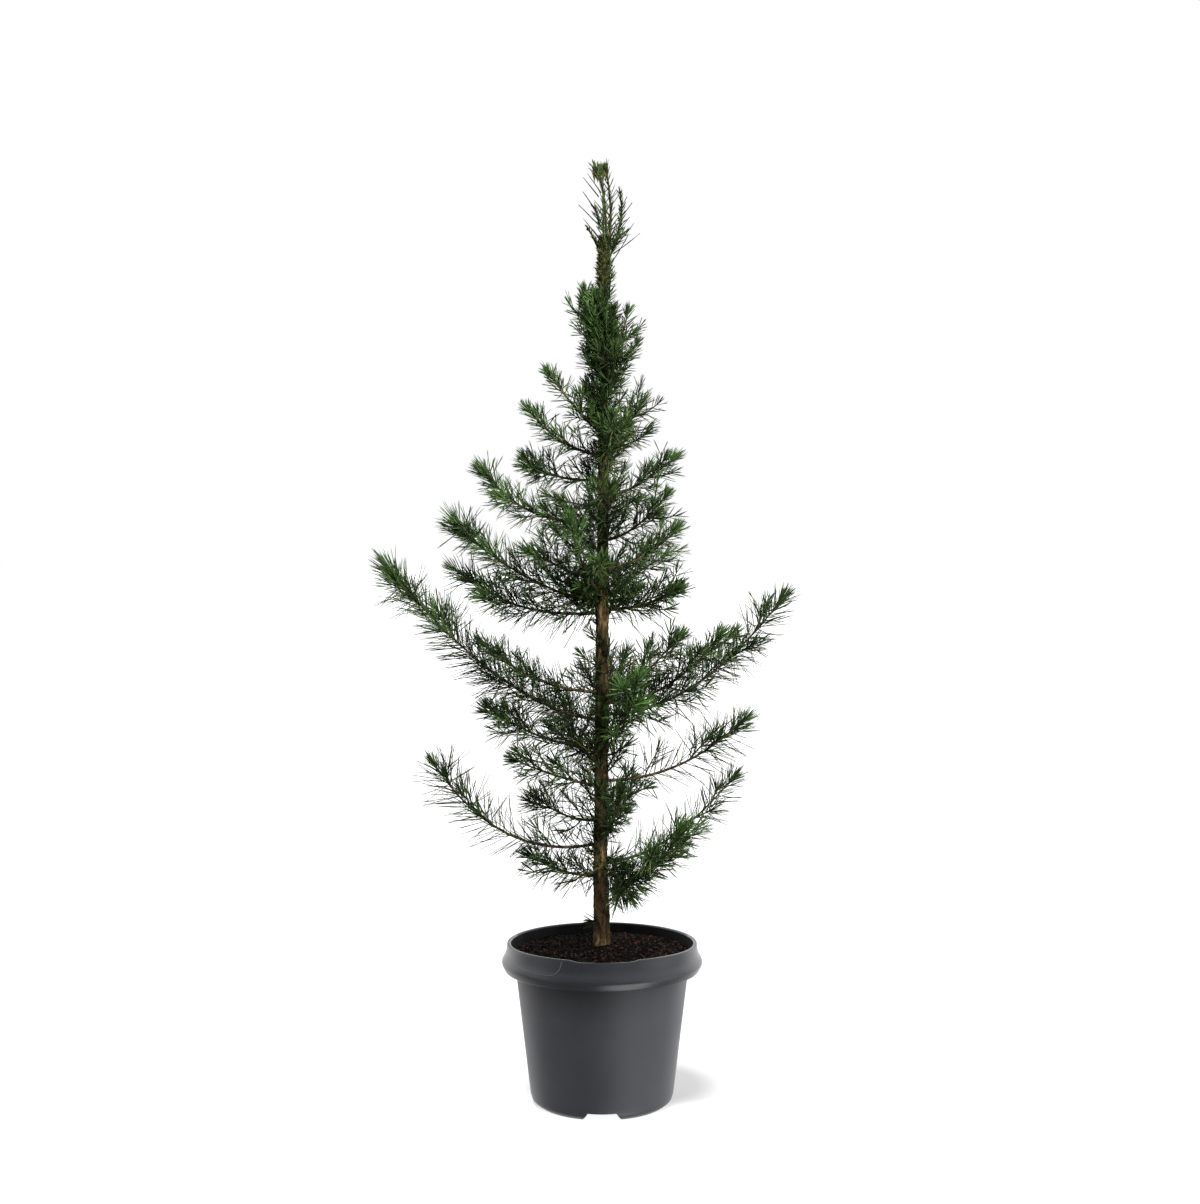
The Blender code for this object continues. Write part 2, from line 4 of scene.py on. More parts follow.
import bpy
import numpy as np
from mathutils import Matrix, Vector


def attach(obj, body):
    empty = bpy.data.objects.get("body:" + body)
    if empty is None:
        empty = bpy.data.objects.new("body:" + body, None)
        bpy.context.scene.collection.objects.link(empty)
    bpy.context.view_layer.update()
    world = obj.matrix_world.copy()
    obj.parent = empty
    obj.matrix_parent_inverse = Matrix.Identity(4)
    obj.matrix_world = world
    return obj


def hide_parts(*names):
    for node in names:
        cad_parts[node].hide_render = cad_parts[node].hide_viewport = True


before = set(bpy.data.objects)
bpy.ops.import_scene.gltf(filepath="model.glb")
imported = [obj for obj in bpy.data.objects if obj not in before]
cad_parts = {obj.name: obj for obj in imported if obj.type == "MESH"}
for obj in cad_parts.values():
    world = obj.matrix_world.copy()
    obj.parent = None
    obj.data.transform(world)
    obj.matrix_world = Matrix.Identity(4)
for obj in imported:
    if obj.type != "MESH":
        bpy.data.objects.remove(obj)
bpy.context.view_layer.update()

# ------------------------------------------------------------------ studio
# A white studio sweep: a pale matt floor under an even white dome, one big soft box
# high on the right front, and a lamp that only casts the pot's shadow. The camera stands
# level with the middle of the tree, and its frame is shifted down to take in the pot.

CAMERA_PLACE = (-0.002, -2.0, 0.592)
CAMERA_LENS = 60.88
CAMERA_SHIFT = -0.0861

camera_data = bpy.data.cameras.new("camera")
camera_data.lens = CAMERA_LENS
camera_data.sensor_width = 36.0
camera_data.shift_y = CAMERA_SHIFT
camera_data.clip_start = 0.05
camera_data.clip_end = 60.0
camera = bpy.data.objects.new("camera", camera_data)
camera.location = CAMERA_PLACE
camera.rotation_euler = (math.radians(90.0), 0.0, 0.0)
bpy.context.scene.collection.objects.link(camera)
bpy.context.scene.camera = camera
bpy.context.scene.view_settings.view_transform = "Standard"


def select_only(*bodies):
    if bpy.context.object and bpy.context.object.mode != "OBJECT":
        bpy.ops.object.mode_set(mode="OBJECT")
    bpy.ops.object.select_all(action="DESELECT")
    for body in bodies:
        body.select_set(True)
        bpy.context.view_layer.objects.active = body


def shader_of(material):
    return material.node_tree.nodes["Principled BSDF"]


def new_material(name, colour, roughness, specular=0.5):
    material = bpy.data.materials.new(name)
    material.use_nodes = True
    shader = shader_of(material)
    shader.inputs["Base Color"].default_value = (*colour, 1.0)
    shader.inputs["Roughness"].default_value = roughness
    shader.inputs["Specular IOR Level"].default_value = specular
    return material


def coat(body, *materials):
    body.data.materials.clear()
    for material in materials:
        body.data.materials.append(material)


def add_node(owner, kind, *sources, **settings):
    """A node of a material or the dome; its inputs are other nodes' outputs or plain values."""
    node = owner.node_tree.nodes.new("ShaderNode" + kind)
    fed = list(zip(node.inputs, sources))
    for name, value in settings.items():
        if hasattr(node, name):
            setattr(node, name, value)
        else:
            fed.append((node.inputs[name], value))
    for slot, source in fed:
        if isinstance(source, bpy.types.NodeSocket):
            owner.node_tree.links.new(source, slot)
        elif source is not None:
            slot.default_value = source
    return node


def maths(owner, operation, *sources):
    return add_node(owner, "Math", *sources, operation=operation).outputs[0]


def map_range(owner, source, limits, levels, curve="LINEAR"):
    """A value that goes from one level to another between two limits."""
    node = add_node(owner, "MapRange", source, *limits, *levels, interpolation_type=curve)
    return node.outputs[0]


def object_axis(material, axis):
    place = add_node(material, "TexCoord").outputs["Object"]
    return add_node(material, "SeparateXYZ", place).outputs[axis]


def feed(material, source, name):
    """Link a value or a colour into the material's shader."""
    material.node_tree.links.new(source, shader_of(material).inputs[name])


FLOOR_SIZE = 30.0
FLOOR_WHITE = 0.25
GLOW_LEVELS = (0.95, 0.46)  # the sweep is lit from within, most of all in front
GLOW_LIMITS = (-0.055, 0.015)

select_only()
bpy.ops.mesh.primitive_plane_add(size=FLOOR_SIZE)
floor = bpy.context.object
floor.name = "studio_floor"
pale_floor = new_material("pale_floor", (FLOOR_WHITE,) * 3, 1.0, 0.0)
shader_of(pale_floor).inputs["Emission Color"].default_value = (1.0, 1.0, 1.0, 1.0)
floor_glow = map_range(pale_floor, object_axis(pale_floor, "Y"), GLOW_LIMITS, GLOW_LEVELS, "SMOOTHSTEP")
feed(pale_floor, floor_glow, "Emission Strength")
coat(floor, pale_floor)
floor.visible_diffuse = False
floor.visible_glossy = False

# The dome is white to the eye. What it sheds on the plant is less even: less from below than
# from above, more from white walls at the sides, less from a dark screen on the left front.
# Glossy surfaces also see a bright wall behind, a patch of lit floor on the right front and
# a lit strip low on the right. Each row: a direction, how closely it is followed (from -1 to
# 1) where the change starts and ends, and the two levels there.
UP, RIGHT, BACK = (0.0, 0.0, 1.0), (1.0, 0.0, 0.0), (0.0, 1.0, 0.0)
MATT = (UP, (-0.2, 1.0), (0.30, 1.40))
GLOSS = (UP, (-0.6, 0.6), (0.24, 0.75))
LOPSIDED = (RIGHT, (-1.0, 1.0), (0.80, 1.30))
WALLS = ((0.45, 0.98), (1.0, 1.6))
SCREEN = ((-0.45, -0.78, 0.42), (0.58, 0.97), (1.0, 0.35))
GLOSS_PATCHES = (
    ((0.38, -0.42, -0.83), (0.89, 0.985), (0.0, 3.0)),
    (BACK, (0.1, 0.95), (0.0, 0.9)),
    ((0.88, -0.28, -0.39), (0.78, 0.98), (0.0, 0.46)),
)

dome = bpy.data.worlds.new("white_dome")
dome.use_nodes = True
direction = add_node(dome, "TexCoord").outputs["Generated"]
ray = add_node(dome, "LightPath").outputs


def towards(axis):
    """How closely the light's direction follows an axis, from -1 to 1."""
    axis = Vector(axis).normalized()
    return add_node(dome, "VectorMath", direction, axis, operation="DOT_PRODUCT").outputs["Value"]


def fade(axis, limits, levels):
    return map_range(dome, towards(axis), limits, levels, "SMOOTHSTEP")


def choose(share, first, second):
    return add_node(dome, "Mix", share, None, first, second).outputs[0]


gloss = fade(*GLOSS)
for patch in GLOSS_PATCHES:
    gloss = maths(dome, "ADD", gloss, fade(*patch))
matt = maths(dome, "MULTIPLY", fade(*MATT), fade(*LOPSIDED))
sideways = maths(dome, "ABSOLUTE", towards(RIGHT))
level = choose(ray["Is Diffuse Ray"], gloss, matt)
level = maths(dome, "MULTIPLY", level, map_range(dome, sideways, *WALLS, "SMOOTHSTEP"))
level = maths(dome, "MULTIPLY", level, fade(*SCREEN))
level = choose(ray["Is Camera Ray"], level, 1.0)
backdrop = dome.node_tree.nodes["Background"].inputs
dome.node_tree.links.new(level, backdrop["Strength"])
backdrop["Color"].default_value = (1.0, 1.0, 1.0, 1.0)
bpy.context.scene.world = dome


def aim(lamp, place, target):
    lamp.location = place
    lamp.rotation_euler = (Vector(target) - Vector(place)).to_track_quat("-Z", "Y").to_euler()
    bpy.context.scene.collection.objects.link(lamp)


# The main soft box stands high on the right front. It leaves out the floor and the pot.
BOX_SIDE, BOX_POWER = 0.45, 125.0
BOX_PLACE, BOX_TARGET = (1.30, -1.80, 1.75), (0.0, 0.0, 0.55)
box_data = bpy.data.lights.new("soft_box", "AREA")
box_data.shape = "RECTANGLE"
box_data.size = box_data.size_y = BOX_SIDE
box_data.energy = BOX_POWER
soft_box = bpy.data.objects.new("soft_box", box_data)
soft_box.visible_glossy = False
aim(soft_box, BOX_PLACE, BOX_TARGET)
not_soft_box = bpy.data.collections.new("soft_box_leaves_out")
not_soft_box.objects.link(floor)
soft_box.light_linking.receiver_collection = not_soft_box

# A second lamp, high on the left, is only for the pot's soft shadow on the floor.
LAMP_STRENGTH, LAMP_SPREAD = 8.5, 20.0  # the spread in degrees
LAMP_PLACE = (-0.16, -0.42, 1.0)
shade_data = bpy.data.lights.new("floor_lamp", "SUN")
shade_data.energy = LAMP_STRENGTH
shade_data.angle = math.radians(LAMP_SPREAD)
floor_lamp = bpy.data.objects.new("floor_lamp", shade_data)
aim(floor_lamp, LAMP_PLACE, (0.0, 0.0, 0.0))
on_floor = bpy.data.collections.new("floor_lamp_lights")
on_floor.objects.link(floor)
floor_lamp.light_linking.receiver_collection = on_floor
shadow_casters = bpy.data.collections.new("floor_lamp_blockers")
floor_lamp.light_linking.blocker_collection = shadow_casters

# ------------------------------------------------------------------ pot
# A thin injection-moulded nursery pot in dark grey plastic. Its wall rises from a rounded
# foot ring with four drainage notches to a lip, and folds over into a flared collar that
# hangs free of the wall. The centre of its floor is pressed down into a flat pad.

POT_TURNS = 128
SHELL_CORNERS = (  # radius, height, corner radius, from the underside's centre round to the floor
    (0.0, 0.0, 0.0),
    (0.0450, 0.0, 0.0010),
    (0.0472, 0.0082, 0.0010),
    (0.0561, 0.0082, 0.0010),
    (0.0575, 0.0, 0.0008),
    (0.0622, 0.0, 0.0),
    (0.0687, 0.0045, 0.0045),
    (0.0702, 0.0110, 0.0050),
    (0.0848, 0.1310, 0.0),
    (0.0893, 0.1508, 0.0010),
    (0.0913, 0.1508, 0.0006),
    (0.0923, 0.1470, 0.0020),
    (0.0962, 0.1358, 0.0020),
    (0.0940, 0.1310, 0.0),
    (0.0947, 0.1300, 0.0004),
    (0.0958, 0.1316, 0.0014),
    (0.0981, 0.1362, 0.0018),
    (0.0985, 0.1386, 0.0020),
    (0.0973, 0.1418, 0.0030),
    (0.0942, 0.1466, 0.0050),
    (0.0930, 0.1560, 0.0010),
    (0.0896, 0.1560, 0.0012),
    (0.0880, 0.1470, 0.0030),
    (0.0832, 0.1310, 0.0040),
    (0.0679, 0.0140, 0.0020),
    (0.0640, 0.0100, 0.0020),
    (0.0454, 0.0100, 0.0008),
    (0.0432, 0.0018, 0.0008),
    (0.0, 0.0018, 0.0),
)
CORNER_STEPS = 4


def rounded_outline(corners, steps):
    """Trade each sharp corner of an outline for a short curve."""
    outline = []
    for i, (radius, height, round_off) in enumerate(corners):
        here = Vector((radius, height))
        if round_off == 0.0 or i in (0, len(corners) - 1):
            outline.append(here)
            continue
        back = Vector(corners[i - 1][:2]) - here
        ahead = Vector(corners[i + 1][:2]) - here
        a = here + back.normalized() * min(round_off, back.length * 0.48)
        b = here + ahead.normalized() * min(round_off, ahead.length * 0.48)
        for k in range(steps + 1):
            t = k / steps
            outline.append(a * (1 - t) ** 2 + here * 2 * t * (1 - t) + b * t * t)
    return outline


def edit_mode(action):
    bpy.ops.object.mode_set(mode="EDIT")
    bpy.ops.mesh.select_all(action=action)


def object_mode():
    bpy.ops.object.mode_set(mode="OBJECT")


def turn_outline(name, outline, turns):
    """Draw an outline from one vertex by extruding, and spin it into a closed body."""
    select_only()
    bpy.ops.mesh.primitive_plane_add(size=0.01)
    body = bpy.context.object
    body.name = name
    edit_mode("SELECT")
    bpy.ops.mesh.merge(type="CENTER")
    bpy.ops.transform.translate(value=(outline[0][0], 0.0, outline[0][1]))
    for a, b in zip(outline, outline[1:]):
        step = (b[0] - a[0], 0.0, b[1] - a[1])
        bpy.ops.mesh.extrude_region_move(TRANSFORM_OT_translate={"value": step})
    bpy.ops.mesh.select_all(action="SELECT")
    bpy.ops.mesh.spin(steps=turns, angle=math.tau, center=(0, 0, 0), axis=(0, 0, 1))
    bpy.ops.mesh.select_all(action="SELECT")
    bpy.ops.mesh.remove_doubles(threshold=0.00001)
    bpy.ops.mesh.normals_make_consistent(inside=False)
    object_mode()
    return body


def pick(body, parts, wanted):
    """Select only the faces or edges that a test wants, and stay in edit mode."""
    edit_mode("DESELECT")
    object_mode()
    for part in parts:
        part.select = wanted(part)
    bpy.ops.object.mode_set(mode="EDIT")


pot = turn_outline("nursery_pot", rounded_outline(SHELL_CORNERS, CORNER_STEPS), POT_TURNS)

NOTCH_TOP, NOTCH_FOOT, NOTCH_HIGH = 0.0262, 0.0362, 0.0090
NOTCH_BELOW, NOTCH_SPREAD = 0.0016, 0.0012  # how far the block goes on below the foot
NOTCH_IN, NOTCH_OUT = 0.0525, 0.0800
NOTCH_ROUND = 0.0022


def notch_block(turn):
    """A flat-topped wedge, its upper edges rounded, that cuts one notch in the foot ring."""
    select_only()
    bpy.ops.mesh.primitive_cube_add(size=1.0)
    block = bpy.context.object
    for vert in block.data.vertices:
        high = vert.co.z > 0
        half = NOTCH_TOP / 2 if high else NOTCH_FOOT / 2 + NOTCH_SPREAD
        vert.co.x = math.copysign(half, vert.co.x)
        vert.co.z = NOTCH_HIGH if high else -NOTCH_BELOW
        vert.co.y = -NOTCH_IN if vert.co.y > 0 else -NOTCH_OUT

    def upper_side(edge):
        ends = [block.data.vertices[v].co for v in edge.vertices]
        return all(e.z > 0 for e in ends) and abs(ends[0].x - ends[1].x) < 1e-6

    pick(block, block.data.edges, upper_side)
    bpy.ops.mesh.bevel(offset=NOTCH_ROUND, segments=5)
    bpy.ops.mesh.select_all(action="SELECT")
    bpy.ops.transform.rotate(value=turn, orient_axis="Z", center_override=(0, 0, 0))
    object_mode()
    return block


def apply(body, modifier):
    select_only(body)
    bpy.ops.object.modifier_apply(modifier=modifier.name)


def shade_smooth(body, sharp_from):
    select_only(body)
    bpy.ops.object.shade_smooth_by_angle(angle=math.radians(sharp_from))


for quarter in range(4):
    block = notch_block(quarter * math.pi / 2)
    cut = pot.modifiers.new("notch", "BOOLEAN")
    cut.operation = "DIFFERENCE"
    cut.object = block
    apply(pot, cut)
    bpy.data.objects.remove(block)

# The lip stands a little higher in front, apart from a shallow dip in its middle.
DIP_FROM, DIP_TO, DIP = math.radians(-17.5), math.radians(20), 0.0016
DIP_EASE = 0.05  # radians to either side of its ends
LIP_RISE, LIP_RISE_FRONT = 0.0007, 0.0012
LIP_FOOT, LIP_TOP, LIP_IN = 0.146, 0.156, 0.085


def smooth(edge0, edge1, x):
    t = min(1.0, max(0.0, (x - edge0) / (edge1 - edge0)))
    return t * t * (3 - 2 * t)


for vert in pot.data.vertices:
    radius = vert.co.xy.length
    bearing = math.atan2(vert.co.x, -vert.co.y)
    if vert.co.z > LIP_FOOT and radius > LIP_IN:
        inside = smooth(DIP_FROM - DIP_EASE, DIP_FROM + DIP_EASE, bearing)
        inside *= 1 - smooth(DIP_TO - DIP_EASE, DIP_TO + DIP_EASE, bearing)
        rise = LIP_RISE + LIP_RISE_FRONT * smooth(0.2, 0.9, math.cos(bearing)) - DIP * inside
        vert.co.z += rise * smooth(LIP_FOOT, LIP_TOP, vert.co.z)
shade_smooth(pot, 38)


def object_place(material, scale=(1.0, 1.0, 1.0)):
    """Object coordinates, stretched by a mapping."""
    place = add_node(material, "TexCoord").outputs["Object"]
    return add_node(material, "Mapping", place, Scale=scale).outputs["Vector"]


def noise(material, place, scale, detail, **more):
    return add_node(material, "TexNoise", place, Scale=scale, Detail=detail, **more).outputs["Fac"]


def ramp(material, source, *stops):
    """Colours at places along a value."""
    node = add_node(material, "ValToRGB", source)
    node.color_ramp.interpolation = "EASE" if len(stops) == 2 else "LINEAR"
    elements = node.color_ramp.elements
    while len(elements) < len(stops):
        elements.new(0.5)
    for element, (spot, colour) in zip(elements, stops):
        element.position = spot
        element.color = (*colour, 1.0)
    return node.outputs["Color"]


def bump(material, height, distance, strength=1.0):
    node = add_node(material, "Bump", Height=height, Strength=strength, Distance=distance)
    feed(material, node.outputs["Normal"], "Normal")


def pot_plastic(name, colour, roughness):
    """Dark grey polypropylene: satin, very finely grained, with faint rubbed patches."""
    plastic = new_material(name, colour, roughness)
    place = object_place(plastic)
    cloud = noise(plastic, place, 22.0, 4.0, Roughness=0.6)
    grain = noise(plastic, place, 1500.0, 2.0)
    dark, pale = tuple(0.9 * c for c in colour), tuple(1.1 * c for c in colour)
    feed(plastic, ramp(plastic, cloud, (0.25, dark), (0.80, pale)), "Base Color")
    smoother, rougher = (roughness - 0.04,) * 3, (roughness + 0.06,) * 3
    feed(plastic, ramp(plastic, cloud, (0.25, smoother), (0.80, rougher)), "Roughness")
    bump(plastic, grain, 0.00005, 0.5)
    return plastic


COLLAR_PAINTED_SHADE = 0.60  # how much darker the painted shadow of the collar makes the wall close under it
SHADE_LOW, SHADE_HIGH = 0.095, 0.130
SHADE_RIGHT = (0.030, 0.066)  # it fades out between these on the right


def paint_collar_shadow(plastic):
    """Painted shadow: the wall is darker close under the collar, where its shadow falls, and less so on
    the right.
    """
    loss = map_range(plastic, object_axis(plastic, "Z"), (SHADE_LOW, SHADE_HIGH), (0.0, COLLAR_PAINTED_SHADE))
    where = map_range(plastic, object_axis(plastic, "X"), SHADE_RIGHT, (1.0, 0.0))
    keep = maths(plastic, "SUBTRACT", 1.0, maths(plastic, "MULTIPLY", loss, where))
    colour = shader_of(plastic).inputs["Base Color"].links[0].from_socket
    darker = add_node(plastic, "VectorMath", colour, operation="SCALE", Scale=keep)
    feed(plastic, darker.outputs[0], "Base Color")


def shaded_inside_plastic():
    """The inside of the wall above the soil: the same plastic, painted near black as shade, darker and
    lighter in uneven patches.
    """
    plastic = new_material("pot_inside", (0.006, 0.006, 0.006), 0.7, 0.15)
    blotches = noise(plastic, object_place(plastic, (1.0, 1.0, 0.5)), 70.0, 5.0, Roughness=0.7)
    shade = ramp(plastic, blotches, (0.4, (0.004, 0.004, 0.004)), (0.7, (0.012, 0.011, 0.011)))
    feed(plastic, shade, "Base Color")
    return plastic


POT_SKIN, INSIDE, COLLAR_SKIN, LIP_HIGHLIGHT = range(4)
FLOOR_TOP, EDGE_FOOT, EDGE_OUT = 0.012, 0.1548, 0.0893  # where the inside in painted shade ends
EDGE_IN, HIGHLIGHT_OUT, HIGHLIGHT_ROUND = 0.0892, 0.0906, 1.9  # the rim's painted highlight, and how far round it goes
COLLAR_IN, COLLAR_FOOT = 0.0930, 0.1300
coat(
    pot,
    pot_plastic("pot_plastic", (0.082, 0.085, 0.099), 0.42),
    # The inside above the soil is painted near black as shade.
    shaded_inside_plastic(),
    # The collar is the wall's plastic painted darker, as shade.
    pot_plastic("collar_plastic", (0.046, 0.048, 0.058), 0.26),
    # The pale strip on the rim's top is a painted highlight.
    pot_plastic("lip_painted_highlight", (0.190, 0.190, 0.205), 0.35),
)
# The collar's shadow on the wall below it is painted into the plastic's colour.
paint_collar_shadow(pot.data.materials[POT_SKIN])
for face in pot.data.polygons:
    inward = face.normal.x * face.center.x + face.normal.y * face.center.y < 0
    radius, height = face.center.xy.length, face.center.z
    bearing = math.atan2(face.center.x, -face.center.y)
    if inward and FLOOR_TOP < height < EDGE_FOOT and radius < EDGE_OUT:
        face.material_index = INSIDE
    # The rim's top, round the front but not in the dip, gets a pale painted highlight.
    elif height > EDGE_FOOT and EDGE_IN < radius < HIGHLIGHT_OUT and abs(bearing) < HIGHLIGHT_ROUND:
        face.material_index = POT_SKIN if DIP_FROM < bearing < DIP_TO else LIP_HIGHLIGHT
    elif radius > COLLAR_IN and height > COLLAR_FOOT:
        face.material_index = COLLAR_SKIN
shadow_casters.objects.link(pot)
not_soft_box.objects.link(pot)

# The faint moulded panel edge on the collar's left, from its far end to the lip: bearing
# (in radians, to the left of the front) and height
PANEL_EDGE = (
    (-1.02, 0.1434), (-0.90, 0.1430), (-0.78, 0.1426), (-0.66, 0.1423), (-0.56, 0.1423),
    (-0.515, 0.1428), (-0.480, 0.1443), (-0.455, 0.1465), (-0.438, 0.1495), (-0.428, 0.1525),
    (-0.420, 0.1560),
)
EDGE_PROUD = 0.00075
slope = [p for p in rounded_outline(SHELL_CORNERS, CORNER_STEPS) if p.x > 0.0928 and p.y > 0.1380]
slope = sorted((p.y, p.x) for p in slope)


def collar_radius(height):
    return float(np.interp(height, *zip(*slope)))


def round_strands(name, strands, sides, steps):
    """One mesh of round strands, each a list of places and radii, drawn as bevelled curves."""
    data = bpy.data.curves.new(name, "CURVE")
    data.dimensions = "3D"
    data.bevel_depth = 1.0
    data.bevel_resolution = sides
    data.use_fill_caps = True
    data.resolution_u = steps
    for strand in strands:
        spline = data.splines.new("NURBS")
        spline.points.add(len(strand) - 1)
        spline.order_u = 3
        spline.use_endpoint_u = True
        for spot, (place, radius) in zip(spline.points, strand):
            spot.co = (*place, 1.0)
            spot.radius = radius
    body = bpy.data.objects.new(name, data)
    bpy.context.scene.collection.objects.link(body)
    select_only(body)
    bpy.ops.object.convert(target="MESH")
    return bpy.context.object


ridge = []
for k, (turn, height) in enumerate(PANEL_EDGE):
    radius = collar_radius(height)
    place = (radius * math.sin(turn), -radius * math.cos(turn), height)
    ridge.append((place, EDGE_PROUD * min(1.0, 0.3 + 0.1 * k)))
panel_edge = round_strands("collar_panel_edge", [ridge], 3, 12)
shade_smooth(panel_edge, 60)
# The ridge is real; its paler colour is a painted highlight along it.
coat(panel_edge, pot_plastic("collar_panel_edge", (0.120, 0.122, 0.135), 0.40))
not_soft_box.objects.link(panel_edge)
for entry in not_soft_box.collection_objects:
    entry.light_linking.link_state = "EXCLUDE"
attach(panel_edge, "root")
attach(pot, "root")
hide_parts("pot")

# ------------------------------------------------------------------ soil
# Moist, nearly black potting soil, mounded slightly towards the trunk. Its top is loose
# crumbs, with reddish bark flecks, mostly on the right, and a few pale grains.

SOIL_OUTLINE = (
    (0.0, 0.0022), (0.0430, 0.0022), (0.0448, 0.0106), (0.0630, 0.0106), (0.0672, 0.0142),
    (0.0826, 0.1310), (0.0869, 0.1462), (0.0850, 0.1466), (0.0790, 0.1474), (0.0700, 0.1487),
    (0.0600, 0.1500), (0.0480, 0.1516), (0.0360, 0.1529), (0.0240, 0.1539), (0.0120, 0.1545),
    (0.0, 0.1546),
)

soil = turn_outline("potting_soil", SOIL_OUTLINE, 96)
SOIL_TOP = 0.1458  # its loose top lies above this height
pick(soil, soil.data.polygons, lambda face: face.center.z > SOIL_TOP)
bpy.ops.mesh.subdivide(number_cuts=3)
object_mode()


def displace(body, texture_kind, size, strength, group=None):
    """Push a surface in and out by a procedural texture."""
    texture = bpy.data.textures.new(f"{body.name}_{texture_kind.lower()}_{size}", texture_kind)
    texture.noise_scale = size
    push = body.modifiers.new("relief", "DISPLACE")
    push.texture = texture
    push.texture_coords = "LOCAL"
    push.strength = strength
    push.mid_level = 0.5
    if group:
        push.vertex_group = group
    apply(body, push)


top = soil.vertex_groups.new(name="top")
for vert in soil.data.vertices:
    weight = smooth(0.1463, 0.1475, vert.co.z) * smooth(0.006, 0.014, vert.co.xy.length)
    top.add([vert.index], weight, "REPLACE")
displace(soil, "CLOUDS", 0.012, 0.0030, "top")
displace(soil, "CLOUDS", 0.0035, 0.0024, "top")
shade_smooth(soil, 50)


def soil_earth():
    earth = new_material("soil_earth", (0.008, 0.005, 0.004), 0.95, 0.08)
    crumb = noise(earth, object_place(earth), 340.0, 5.0, Roughness=0.7)
    black, earthen, pale = (0.0015, 0.001, 0.001), (0.0045, 0.003, 0.0025), (0.016, 0.010, 0.007)
    feed(earth, ramp(earth, crumb, (0.35, black), (0.55, earthen), (0.72, pale)), "Base Color")
    bump(earth, crumb, 0.0012)
    return earth


coat(soil, soil_earth())
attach(soil, "root")
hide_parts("soil")


def finish_copies(name, verts, faces, material):
    """One joined piece from many copies' points and faces."""
    mesh = bpy.data.meshes.new(name)
    mesh.from_pydata(verts.tolist(), [], faces.tolist())
    mesh.update()
    piece = bpy.data.objects.new(name, mesh)
    bpy.context.scene.collection.objects.link(piece)
    coat(piece, material)
    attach(piece, "root")
    return piece


def take_shape(body):
    """The points and faces of a modelled shape, which is then removed."""
    object_mode()
    verts = np.array([v.co[:] for v in body.data.vertices])
    faces = np.array([f.vertices[:] for f in body.data.polygons])
    bpy.data.objects.remove(body)
    return verts, faces


# One angular crumb of bark or soil: a roughened, flattened little block
select_only()
bpy.ops.mesh.primitive_ico_sphere_add(subdivisions=1, radius=1.0)
edit_mode("SELECT")
bpy.ops.transform.vertex_random(offset=0.35, seed=4)
bpy.ops.transform.resize(value=(1.3, 0.8, 0.5))
CRUMB_VERTS, CRUMB_FACES = take_shape(bpy.context.object)


def random_turns(rng, count):
    """Random rotation matrices."""
    q = rng.normal(size=(count, 4))
    q /= np.linalg.norm(q, axis=1)[:, None]
    w, x, y, z = q.T
    return np.stack(
        [
            1 - 2 * (y * y + z * z), 2 * (x * y - z * w), 2 * (x * z + y * w),
            2 * (x * y + z * w), 1 - 2 * (x * x + z * z), 2 * (y * z - x * w),
            2 * (x * z - y * w), 2 * (y * z + x * w), 1 - 2 * (x * x + y * y),
        ],
        axis=1,
    ).reshape(count, 3, 3)


SOIL_EDGE = 0.084  # crumbs lie within this radius


def soil_height(radius):
    radii, heights = zip(*SOIL_OUTLINE[:5:-1])
    return np.interp(radius, radii, heights)


def scatter_crumbs(name, count, low, high, colour, rightward, seed):
    """Loose crumbs lying on the soil, more of them to the right if asked."""
    rng = np.random.default_rng(seed)
    radius = SOIL_EDGE * np.sqrt(rng.uniform(0.02, 1.0, count * 3))
    turn = rng.uniform(0, math.tau, count * 3)
    x, y = radius * np.cos(turn), radius * np.sin(turn)
    keep = rng.uniform(0, 1, count * 3) < 0.5 + rightward * x / SOIL_EDGE
    x, y, radius = x[keep][:count], y[keep][:count], radius[keep][:count]
    size = rng.uniform(low, high, len(x))
    z = soil_height(radius) + size * 0.15
    verts = np.einsum("nij,vj->nvi", random_turns(rng, len(x)), CRUMB_VERTS) * size[:, None, None]
    verts += np.stack([x, y, z], axis=1)[:, None]
    faces = CRUMB_FACES[None] + (np.arange(len(x)) * len(CRUMB_VERTS))[:, None, None]
    material = new_material(name, colour, 0.9, 0.10)
    return finish_copies(name, verts.reshape(-1, 3), faces.reshape(-1, 3), material)


scatter_crumbs("soil_crumbs_dark", 1800, 0.0008, 0.0024, (0.0034, 0.0024, 0.0020), 0.0, 11)
scatter_crumbs("soil_bark_flecks", 500, 0.0009, 0.0022, (0.027, 0.014, 0.010), 0.35, 12)
scatter_crumbs("soil_pale_grains", 130, 0.0004, 0.0009, (0.070, 0.052, 0.040), 0.1, 13)

# ------------------------------------------------------------------ trunk
# The sapling's one straight stem: a true taper with a flare at the soil and a slight lean.
# Its bark is thin, fissured and scaly, olive-brown and tan, and swells a little under each
# limb.

